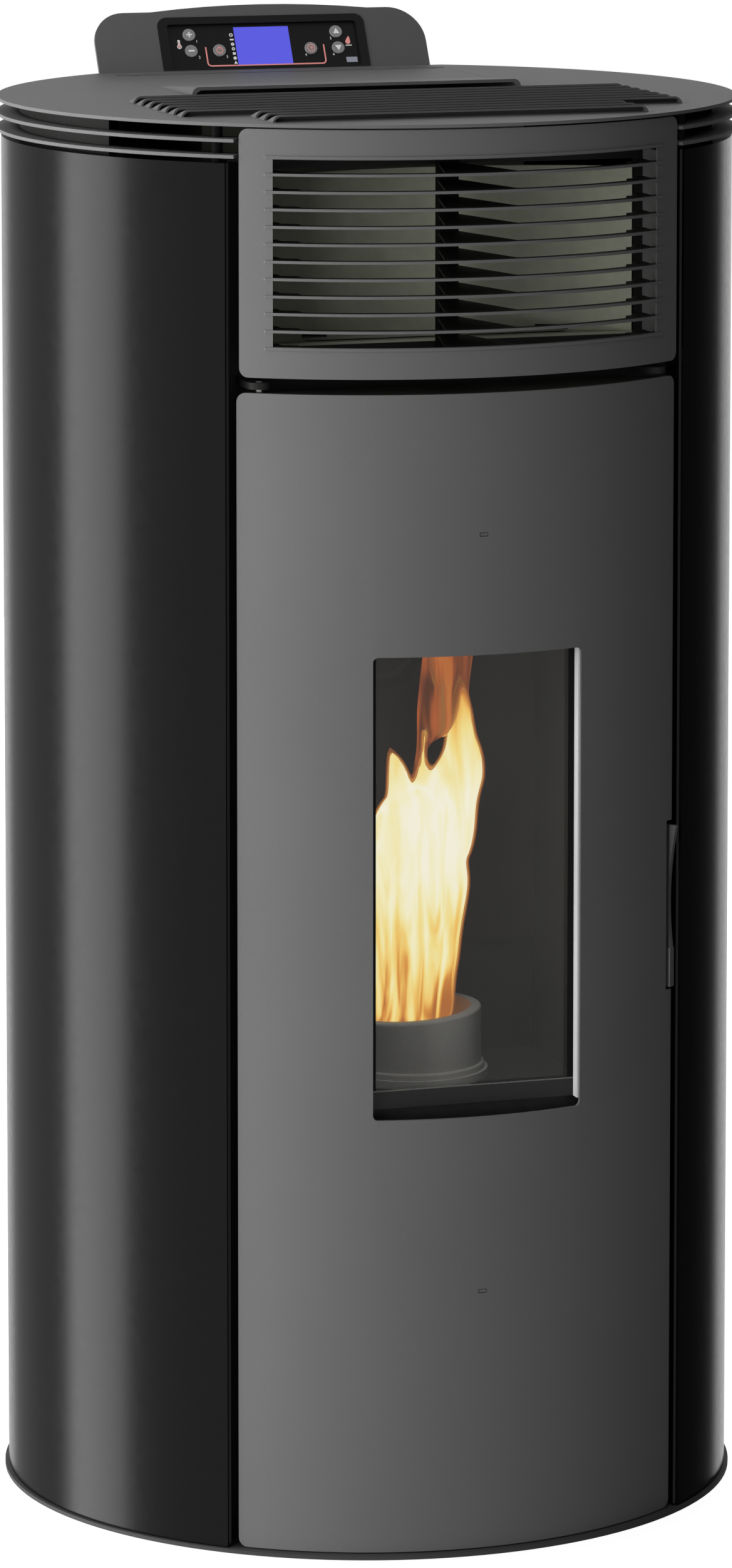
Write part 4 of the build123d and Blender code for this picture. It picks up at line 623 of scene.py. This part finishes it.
# Outline of each flame at the middle of the pot: height, left edge and right edge, in mm from the
# floor and from the stove's middle, as the tongues burn up behind the glass.
FLAME_BODY = ((379, -34, 34), (391, -38, 35), (404, -42, 36), (418, -44, 37), (432, -45, 40),
              (445, -45, 41), (459, -45, 43), (473, -45, 46), (486, -44, 48), (493, -43, 48),
              (500, -42, 47), (507, -41, 46), (514, -40, 48), (520, -38, 51), (527, -36, 53),
              (541, -31, 54), (548, -27, 53), (554, -23, 52), (560, -17, 46), (566, -8, 36))
FLAME_LEFT = ((480, -40, 10), (520, -36, 9), (540, -31, 8), (550, -25, 7), (556, -22.5, 6),
              (562, -21.5, 4), (568, -21.3, 2), (575, -21.2, -1), (582, -21, -4),
              (588, -20.8, -8), (593, -20.3, -13), (598, -19.5, -18))
FLAME_RIGHT = ((500, 0, 46), (520, 0, 51), (534, 0, 53), (548, 1, 53.5), (555, 2, 55),
               (561, 4, 56.5), (568, 8, 59), (575, 14, 59.2), (582, 19, 58.7), (588, 23, 57.8),
               (595, 25, 55.5), (602, 26, 52.6), (609, 26, 51.2), (616, 26.5, 50.2),
               (623, 28, 49), (630, 30, 47.2), (637, 32, 45), (644, 34, 43), (652, 36, 40))
FLAME_HOOK = ((556, -4, 18), (564, -1, 19), (570, 1.5, 18.5), (576, 3, 17), (582, 4.8, 14.8),
              (589, 6.2, 13.8), (596, 6.7, 13.8), (603, 6.8, 16), (610, 7.2, 18))
FLAME_STREAK = ((600, 20, 34), (612, 22, 36), (624, 23, 37), (634, 22, 34), (644, 18, 29),
                (654, 16, 25), (664, 15, 23), (676, 15, 21), (690, 16, 19))
FLAME_VEIL = ((560, 0, 12), (575, 4, 15), (588, 6.5, 14), (596, 7, 17), (602, 7.2, 30),
              (608, 7.2, 46), (616, 7.2, 50), (624, 7.4, 49.5), (636, 8.7, 48),
              (650, 10, 50), (663, 12, 52), (676, 13, 53), (688, 15, 50), (698, 20, 44))
# Tongues that join, with their distance behind the middle of the pot in mm.
FLAMES = ((FLAME_BODY, 0.0), (FLAME_LEFT, -3.0), (FLAME_RIGHT, -3.0), (FLAME_HOOK, 0.0))
FLAME_DEPTH = 0.72         # depth of a tongue over its width
THIN_TIP = 0.7             # half width in mm at which a tongue ends
# Nested skins of the joined tongues: finish, and distance inside the outline in mm.
FLAME_SKINS = (("flame_haze", 0.0), ("flame_edge", 1.1), ("flame_core", 2.4))
# Single tongues, with their distance behind the middle of the pot in mm.
THIN_FLAMES = {"flame_veil": (FLAME_VEIL, 6.0), "flame_streak": (FLAME_STREAK, 3.0)}


def flame_tongue(name, outline, behind, inset):
    """Closed tongue of flame: an oval extruded upwards, drawn in by an inset in mm."""
    deselect()
    levels = [(height, (left + right) / 2, (right - left) / 2 - inset)
              for height, left, right in outline if (right - left) / 2 - inset > THIN_TIP]
    height, middle, half = levels[0]
    centre = Vector((POT_X + middle * MM, POT_Y + behind * MM, height * MM))
    bpy.ops.mesh.primitive_circle_add(vertices=20, radius=half * MM, fill_type="NGON",
                                      location=centre)
    piece = settle(named(name))
    bpy.ops.object.mode_set(mode="EDIT")
    bpy.ops.mesh.select_mode(type="FACE")
    bpy.ops.mesh.select_all(action="SELECT")
    bpy.ops.transform.resize(value=(1, FLAME_DEPTH, 1), center_override=centre)
    for height, middle, next_half in levels[1:]:
        place = Vector((POT_X + middle * MM, centre.y, height * MM))
        bpy.ops.mesh.extrude_region_move(TRANSFORM_OT_translate={"value": place - centre})
        wider = next_half / half
        bpy.ops.transform.resize(value=(wider, wider, 1), center_override=place)
        half = next_half
        centre = place
    bpy.ops.object.mode_set(mode="OBJECT")
    tidy_normals(piece)
    soft = piece.modifiers.new("soft", "SUBSURF")
    soft.levels = 1
    bpy.ops.object.modifier_apply(modifier=soft.name)
    return rounded(piece)


def fused(piece):
    """Melt overlapping tongues into one closed skin."""
    active(piece)
    melt = piece.modifiers.new("melt", "REMESH")
    melt.mode = "VOXEL"
    melt.voxel_size = 2.2 * MM
    calm = piece.modifiers.new("calm", "SMOOTH")
    calm.factor = 0.5
    calm.iterations = 8
    for change in (melt, calm):
        bpy.ops.object.modifier_apply(modifier=change.name)
    return rounded(piece)


class MakeFlames(bpy.types.Operator):
    """Add the flames that rise from the burner pot"""
    bl_idname = "stove.flames"
    bl_label = "Flames"

    def execute(self, context):
        for name, inset in FLAME_SKINS:
            tongues = [flame_tongue("tongue", outline, behind, inset)
                       for outline, behind in FLAMES]
            piece = fused(join(tongues, name))
            piece.visible_diffuse = False
            dress(piece, material(name), "pot")
        for name, (outline, behind) in THIN_FLAMES.items():
            dress(flame_tongue(name, outline, behind, 0.0), material(name), "pot")
        return {"FINISHED"}


PELLET_R = 3               # mm
PELLET_RINGS = ((0, 1), (10, 6), (20, 11), (30, 16), (38, 20))     # radius in mm and pellets
PELLET_LAYERS = ((-0.030, 40), (-0.023, 32), (-0.016, 22))  # height from the rim, widest ring in mm


class MakePellets(bpy.types.Operator):
    """Add the glowing heap of wood pellets in the burner pot"""
    bl_idname = "stove.pellets"
    bl_label = "Pellets"

    def execute(self, context):
        deselect()
        bpy.ops.mesh.primitive_cylinder_add(vertices=12, radius=PELLET_R * MM,
                                            depth=sizes().pellet_length)
        pellet = bevelled(named("pellet"), 0.5 * MM)
        heap = []
        for layer, (level, widest) in enumerate(PELLET_LAYERS):
            for radius, count in PELLET_RINGS:
                if radius > widest:
                    continue
                for n in range(count):
                    # Each pellet is turned and lifted by its own amount, as in a stirred heap.
                    turn = 2 * pi * n / count + 0.7 * layer + radius
                    place = Vector((POT_X + radius * MM * cos(turn),
                                    POT_Y + radius * MM * sin(turn),
                                    POT_TOP + level + 2.2 * MM * sin(3.1 * n + radius)))
                    piece = pellet.copy()
                    piece.data = pellet.data.copy()
                    context.scene.collection.objects.link(piece)
                    piece.location = place
                    piece.rotation_euler = (pi / 2 + 0.4 * sin(5.0 * n + layer), 0.0,
                                            2.4 * n + radius + layer)
                    heap.append(piece)
        bpy.data.objects.remove(pellet)
        bed = settle(join(heap, "pellet_bed"))
        smooth(bed)
        dress(bed, material("glowing_pellets"), "pot")
        return {"FINISHED"}


KEY_PLACES = {"key_plus": (-64.0, 32.3), "key_minus": (-64.0, 18.2), "key_power": (-40.5, 18.2),
              "key_menu": (36.1, 18.2), "key_up": (59.1, 32.3), "key_down": (59.1, 18.2)}
# Heights over the fascia's face, and sizes, in mm.
KEY_FACE = -1.2
POCKET_FLOOR = -2.4
SINK = 0.02                # depth that a mark is let into what it lies on
MARK_T = 0.18
NUMERAL_H = 2.3
NUMERALS = (("1", -58.2, 26.6), ("2", -57.8, 12.7), ("3", -34.7, 12.7), ("4", 31.3, 12.7),
            ("5", 54.1, 26.7), ("6", 54.6, 12.7))
U_LINE = (-51.6, 47.2, 5.0, 21.5)      # left, right, foot and top of the bracket line
LINE_W = 1.1
LINE_BEND = 3                          # radius of its two corners
STATUS_PLACE = (-29.0, 31.6)           # upper status mark: across and up
STATUS_STEP = (0.12, -4.05)            # from one status mark to the next
WARMTH_X = -73.2
WARMTH_UP = 22.4                       # middle of the warmth mark's bulb


class MakeKeySymbols(bpy.types.Operator):
    """Add the plain symbols on the six keys"""
    bl_idname = "stove.key_symbols"
    bl_label = "Key symbols"

    def execute(self, context):
        def put(shapes, key, name, finish):
            across, up = KEY_PLACES[key]
            placed = [fascia_piece(shape, across + dx, up + dy, KEY_FACE - SINK, turn)
                      for shape, dx, dy, turn in shapes]
            dress(join(placed, name), material(finish), key + "_body")

        put([(flat_bar("bar", 4.6, 1.1, MARK_T), 0, 0, 0),
             (flat_bar("bar", 1.1, 4.6, MARK_T), 0, 0, 0)],
            "key_plus", "plus_sign", "white_print_painted_glow")
        put([(flat_bar("bar", 5.0, 1.3, MARK_T), 0, 0, 0)], "key_minus", "minus_sign",
            "white_print_painted_glow")
        put([(flat_disc("arrow", 3.1, MARK_T, corners=3), 0, -0.3, 0)],
            "key_up", "up_arrow", "white_print_painted_glow")
        put([(flat_disc("arrow", 3.1, MARK_T, corners=3), 0, 0.3, pi)],
            "key_down", "down_arrow", "white_print_painted_glow")
        put([(flat_disc("ring", 2.9, MARK_T, hole=2.1), 0, -0.2, 0),
             (flat_bar("bar", 0.9, 3.0, MARK_T), 0, 1.9, 0)],
            "key_power", "power_sign", "red_print_painted_glow")
        put([(flat_disc("ring", 3.3, MARK_T, hole=2.6), 0, 0, 0),
             (flat_disc("dot", 1.1, MARK_T), 0.4, 0.2, 0)],
            "key_menu", "menu_sign", "red_print_painted_glow")
        return {"FINISHED"}


class MakeDisplayMarks(bpy.types.Operator):
    """Add the printed marks around the screen and the receiver window"""
    bl_idname = "stove.display_marks"
    bl_label = "Display marks"

    def execute(self, context):
        floor = POCKET_FLOOR - SINK
        numerals = [fascia_piece(flat_numeral(numeral, NUMERAL_H, MARK_T), across, up, floor)
                    for numeral, across, up in NUMERALS]
        dress(join(numerals, "key_numerals"), material("white_print_painted_glow"), "stove_body")

        left, right, foot, top = U_LINE
        line = [
            fascia_piece(flat_bar("line", right - left - 2 * LINE_BEND, LINE_W, MARK_T),
                         (left + right) / 2, foot, floor),
            *[fascia_piece(flat_bar("line", LINE_W, top - foot - LINE_BEND, MARK_T),
                           across, (foot + LINE_BEND + top) / 2, floor)
              for across in (left, right)],
        ]
        for across, side in ((left, 1), (right, -1)):
            for n in range(4):
                turn = (n + 0.5) * pi / 8
                line.append(fascia_piece(
                    flat_bar("line", LINE_W, 1.35, MARK_T),
                    across + side * LINE_BEND * (1 - cos(turn)),
                    foot + LINE_BEND * (1 - sin(turn)), floor, side * turn))
        dress(join(line, "bracket_line"), material("red_line_painted_glow"), "stove_body")

        shapes = (flat_disc("ring", 1.5, MARK_T, hole=0.8), flat_bar("bar", 3.2, 1.3, MARK_T),
                  flat_disc("fan", 1.5, MARK_T, corners=6, hole=0.5),
                  flat_disc("ring", 1.4, MARK_T, corners=8, hole=0.7),
                  flat_bar("bar", 2.4, 2.0, MARK_T), flat_disc("dot", 1.4, MARK_T),
                  flat_disc("arrow", 1.7, MARK_T, corners=3, hole=0.7))
        (across, up), (aside, step) = STATUS_PLACE, STATUS_STEP
        icons = [fascia_piece(shape, across + aside * n, up + step * n, floor)
                 for n, shape in enumerate(shapes)]
        dress(join(icons, "status_marks"), material("white_print_painted_glow"), "stove_body")

        warm = [fascia_piece(flat_disc("bulb", 1.9, MARK_T, hole=1.2), WARMTH_X, WARMTH_UP,
                             floor),
                fascia_piece(flat_bar("stem", 1.9, 4.4, MARK_T), WARMTH_X, WARMTH_UP + 3.6, floor)]
        dress(join(warm, "warmth_mark"), material("white_print_painted_glow"), "stove_body")
        above = floor + 0.03       # so the filling shows over the outline
        core = [fascia_piece(flat_disc("bulb", 0.95, MARK_T), WARMTH_X, WARMTH_UP, above),
                fascia_piece(flat_bar("stem", 0.7, 3.4, MARK_T), WARMTH_X, WARMTH_UP + 2.6, above)]
        dress(join(core, "warmth_mark_core"), material("red_line_painted_glow"), "stove_body")

        # The flame is a disc with its upper part drawn out to a leaning tip.
        flame = flat_disc("flame", 2.1, MARK_T, corners=16)
        mesh = edit(flame, "VERT")
        for vertex in mesh.verts:
            vertex.select_set(vertex.co.y > 1.2 * MM)
        mesh.select_flush_mode()
        bpy.ops.transform.resize(value=(0.45, 1, 1), center_override=(0, 0, 0))
        bpy.ops.transform.translate(value=(0.9 * MM, 2.6 * MM, 0))
        bpy.ops.object.mode_set(mode="OBJECT")
        fascia_piece(flame, 68.0, 23.4, floor)
        dress(join([flame], "flame_mark"), material("red_line_painted_glow"), "stove_body")
        under = fascia_piece(flat_bar("underline", 5.2, 0.8, MARK_T), 68.3, 20.2, floor)
        dress(join([under], "flame_underline"), material("white_print_painted_glow"), "stove_body")

        eye = fascia_piece(flat_bar("receiver", 9.2, 4.6, 0.5, 0.4), 69.2, 7.5, floor)
        dress(join([eye], "receiver_window"), material("pale_window"), "stove_body")
        return {"FINISHED"}


# Print on the glass and plugs in the door's slots, in mm.
PRINT_T = 0.2
PRINT_W = 161.0
PRINT_FOOT = 13.0          # height of the print along the foot of the glass
PRINT_LINE = 1.0           # height of the pale line above it
SIDE_PRINT_X = 78.0        # middle of a side band
SIDE_PRINT_W = 5.4
PLUG = (5.9, 2.2, 0.8)     # length, height and thickness
PLUG_X = 0.6
PLUG_PLACES = (("lower", 212.2), ("upper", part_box("door_skin")[1][2] / MM - 104.7))


class MakeDoorDetails(bpy.types.Operator):
    """Add the dark print and its pale line on the glass and the plugs in the two slots"""
    bl_idname = "stove.door_details"
    bl_label = "Door details"

    def execute(self, context):
        low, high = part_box("door_glass")
        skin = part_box("door_skin")[0]

        def put(name, across, depth, up, shape, finish, slot):
            piece = flat_bar(name, *shape)
            piece.rotation_euler = (pi / 2, 0, 0)
            piece.location = (across * MM, depth, up)
            dress(settle(piece), material(finish), "door")

        tall = (high[2] - low[2]) / MM - PRINT_FOOT - 2
        put("glass_line", 0, low[1], low[2] + (PRINT_FOOT + 0.6) * MM,
            (PRINT_W, PRINT_LINE, PRINT_T), "glass_rim", "heat_glass")
        put("glass_print_foot", 0, low[1], low[2] + PRINT_FOOT / 2 * MM,
            (PRINT_W, PRINT_FOOT, PRINT_T), "glass_print", "heat_glass")
        for name, side in (("glass_print_left", -1), ("glass_print_right", 1)):
            put(name, side * SIDE_PRINT_X, low[1], high[2] - (1 + tall / 2) * MM,
                (SIDE_PRINT_W, tall - 0.5, PRINT_T), "black_print_and_shade", "heat_glass")
        for name, up in PLUG_PLACES:
            put("slot_plug_" + name, PLUG_X, skin[1] + (0.4 + PLUG[2]) * MM, up * MM, PLUG,
                "matt_stove_paint", "coated_steel")
        return {"FINISHED"}


# Pan heads in mm, with a cross recess.
SCREW_R = 4.2
SCREW_H = 2.6
RECESS = (5.0, 1.0, 2.4)
REAR_SCREWS = [(side * 121.0, z) for side in (-1, 1) for z in (55, 245, 435, 580, 770, 960, 1045)]


class MakeScrews(bpy.types.Operator):
    """Add the pan-head screws that hold the rear panel"""
    bl_idname = "stove.screws"
    bl_label = "Rear screws"

    def execute(self, context):
        deselect()
        bpy.ops.mesh.primitive_cylinder_add(vertices=24, radius=SCREW_R * MM, depth=SCREW_H * MM,
                                            location=(0, 0, SCREW_H / 2 * MM))
        head = settle(named("screw"))
        bevelled(head, 1.1 * MM, 3)
        bars = []
        for turn in (0, pi / 2):
            deselect()
            bpy.ops.mesh.primitive_cube_add(size=1, location=(0, 0, SCREW_H * MM),
                                            scale=Vector(RECESS) * MM)
            bar = settle(named("recess"))
            bar.rotation_euler = (0, 0, turn)
            bars.append(settle(bar))
        for bar in bars:
            active(head)
            cut = head.modifiers.new("recess", "BOOLEAN")
            cut.operation = "DIFFERENCE"
            cut.object = bar
            bpy.ops.object.modifier_apply(modifier=cut.name)
            bpy.data.objects.remove(bar)
        screws = []
        for x, z in REAR_SCREWS:
            piece = head.copy()
            piece.data = head.data.copy()
            context.scene.collection.objects.link(piece)
            piece.rotation_euler = (-pi / 2, 0.3 * z, 0)
            piece.location = (x * MM, BACK_Y, z * MM)
            screws.append(piece)
        bpy.data.objects.remove(head)
        group = smooth(settle(join(screws, "rear_screws")))
        dress(group, material("brushed_stainless"), "stove_body")
        return {"FINISHED"}


MIDDLE = Vector((0, 0, 0.55))
# Azimuths are in degrees from the front, lengths in m and powers in W.
# Lamps: name, azimuth, distance, height, size, power and the point they are aimed at.
LAMPS = (
    ("side_light", -92, 3.2, 0.9, (2.4, 2.6), 160, MIDDLE),
    ("front_light", -50, 3.6, 1.0, (2.0, 2.6), 80, MIDDLE),
    ("top_light", 0, 0.3, 3.6, (1.8, 1.8), 5, MIDDLE),
    ("rear_light", 165, 4.0, 1.4, (3.0, 3.0), 70, MIDDLE),
    ("fire_space_light", 0, 0.238, 0.66, (0.10, 0.03), 0.12, Vector((0, POT_Y, 0.40))),
)
# Cards that only gloss shows: name, first and last azimuth, and strength.
CARDS = (("bright_card", -124, -98, 7.5), ("grey_card", -170, -126, 0.4),
         ("dark_card", 50, 128, 0.04))
CARD_R = 4.0
CARD_SPAN = (-4, 7)        # foot and head
FLOOR_R = 40
CAMERA_PLACE = (-1.6766, -5.1218, 1.5334)
CAMERA_TILT = radians(83.1954)
CAMERA_TURN = radians(-18.126)
CAMERA_LENS = 161.79       # mm
CAMERA_SHIFT_X = -0.00036
STRAY_LIGHT = 0.12         # strength of the world for light that isn't seen directly
FLOOR_GLOW = 0.97
WHITE = (1, 1, 1, 1)
FLOOR_GREY = (0.35, 0.35, 0.35, 1)


def seen_rays(tree):
    """Socket: 1 for what is seen directly, in gloss or through glass, 0 for stray light."""
    paths = add_node(tree, "ShaderNodeLightPath")
    total = paths.outputs["Is Camera Ray"]
    for kind in ("Is Glossy Ray", "Is Transmission Ray"):
        total = add_node(tree, "ShaderNodeMath", None, {0: total, 1: paths.outputs[kind]},
                         operation="ADD", use_clamp=True).outputs[0]
    return total


def place_at(azimuth, distance, height):
    """Point at an azimuth in degrees from the front, a distance from the axis and a height."""
    turn = radians(azimuth)
    return Vector((distance * sin(turn), -distance * cos(turn), height))


def add_lamp(name, azimuth, distance, height, size, power, aim):
    """Area lamp that neither the camera nor gloss shows."""
    light = bpy.data.lights.new(name, "AREA")
    light.shape = "RECTANGLE"
    light.size, light.size_y = size
    light.energy = power
    holder = bpy.data.objects.new(name, light)
    bpy.context.scene.collection.objects.link(holder)
    holder.location = place_at(azimuth, distance, height)
    holder.rotation_euler = (aim - holder.location).to_track_quat("-Z", "Y").to_euler()
    holder.visible_camera = False
    holder.visible_glossy = False


def add_card(name, first, last, strength):
    """Curved, lit card between two azimuths, spun from one upright edge."""
    finish, tree, output = new_material(name)
    light = add_node(tree, "ShaderNodeEmission", {"Color": WHITE, "Strength": strength})
    tree.links.new(light.outputs[0], output.inputs["Surface"])
    finish.cycles.emission_sampling = "NONE"
    deselect()
    bpy.ops.mesh.primitive_plane_add(size=1, location=(0, 0, 0))
    card = named(name)
    bpy.ops.object.mode_set(mode="EDIT")
    bpy.ops.mesh.delete(type="VERT")
    mesh = bmesh.from_edit_mesh(card.data)
    mesh.edges.new([mesh.verts.new(place_at(first, CARD_R, height)) for height in CARD_SPAN])
    bmesh.update_edit_mesh(card.data)
    bpy.ops.mesh.select_all(action="SELECT")
    bpy.ops.mesh.spin(steps=12, angle=radians(first - last), center=(0, 0, 0), axis=(0, 0, 1))
    bpy.ops.object.mode_set(mode="OBJECT")
    card.data.materials.append(finish)
    for kind in ("camera", "diffuse", "transmission", "volume_scatter", "shadow"):
        setattr(card, "visible_" + kind, False)


class MakeStage(bpy.types.Operator):
    """Add the floor, the studio light and the camera"""
    bl_idname = "stove.stage"
    bl_label = "Stage"

    def execute(self, context):
        deselect()
        bpy.ops.mesh.primitive_circle_add(vertices=96, radius=FLOOR_R, fill_type="NGON",
                                          location=(0, 0, -0.4 * MM))
        floor = settle(named("studio_floor"))
        white, tree, output = new_material("studio_white")
        seen = seen_rays(tree)
        matt = add_node(tree, "ShaderNodeBsdfDiffuse", {"Color": FLOOR_GREY})
        bright = add_node(tree, "ShaderNodeEmission", {"Color": WHITE, "Strength": FLOOR_GLOW})
        both = add_node(tree, "ShaderNodeAddShader", None,
                        {0: matt.outputs[0], 1: bright.outputs[0]})
        mix = add_node(tree, "ShaderNodeMixShader", None,
                       {"Fac": seen, 1: matt.outputs[0], 2: both.outputs[0]})
        tree.links.new(mix.outputs[0], output.inputs["Surface"])
        floor.data.materials.append(white)
        floor.visible_glossy = False

        world = bpy.data.worlds.new("studio_world")
        context.scene.world = world
        world.use_nodes = True
        tree = world.node_tree
        tree.nodes.clear()
        level = add_node(tree, "ShaderNodeMapRange", {"To Min": STRAY_LIGHT, "To Max": 1.0},
                         {"Value": seen_rays(tree)})
        sky = add_node(tree, "ShaderNodeBackground", {"Color": WHITE},
                       {"Strength": level.outputs["Result"]})
        output = tree.nodes.new("ShaderNodeOutputWorld")
        tree.links.new(sky.outputs[0], output.inputs["Surface"])

        for lamp in LAMPS:
            add_lamp(*lamp)
        for card in CARDS:
            add_card(*card)

        bpy.ops.object.camera_add(location=CAMERA_PLACE, rotation=(CAMERA_TILT, 0, CAMERA_TURN))
        camera = context.object
        camera.data.lens = CAMERA_LENS
        camera.data.sensor_width = 36.0
        camera.data.shift_x = CAMERA_SHIFT_X
        camera.data.shift_y = sizes().camera_shift
        camera.data.clip_end = 200.0
        context.scene.camera = camera
        context.scene.view_settings.view_transform = "Standard"
        return {"FINISHED"}


class StovePanel(bpy.types.Panel):
    """Sidebar panel that lists the stove's operators"""
    bl_idname = "VIEW3D_PT_stove"
    bl_label = "Round pellet stove"
    bl_space_type = "VIEW_3D"
    bl_region_type = "UI"
    bl_category = "Stove"

    def draw(self, context):
        for operator in OPERATORS:
            self.layout.operator(operator.bl_idname)


OPERATORS = (MakeFinishes, MakeFlames, MakePellets, MakeKeySymbols, MakeDisplayMarks,
             MakeDoorDetails, MakeScrews, MakeStage)
CLASSES = (StoveSizes, StoveColours, *OPERATORS, StovePanel)


def register():
    """Register every class and hang the two property groups on the scene."""
    for cls in CLASSES:
        bpy.utils.register_class(cls)
    bpy.types.Scene.stove_sizes = bpy.props.PointerProperty(type=StoveSizes)
    bpy.types.Scene.stove_colours = bpy.props.PointerProperty(type=StoveColours)


def unregister():
    """Undo what register does."""
    del bpy.types.Scene.stove_sizes
    del bpy.types.Scene.stove_colours
    for cls in reversed(CLASSES):
        bpy.utils.unregister_class(cls)


def main():
    """Make every piece in order."""
    register()
    bpy.ops.stove.finishes()
    bpy.ops.stove.flames()
    bpy.ops.stove.pellets()
    bpy.ops.stove.key_symbols()
    bpy.ops.stove.display_marks()
    bpy.ops.stove.door_details()
    bpy.ops.stove.screws()
    bpy.ops.stove.stage()


if __name__ == "__main__":
    main()
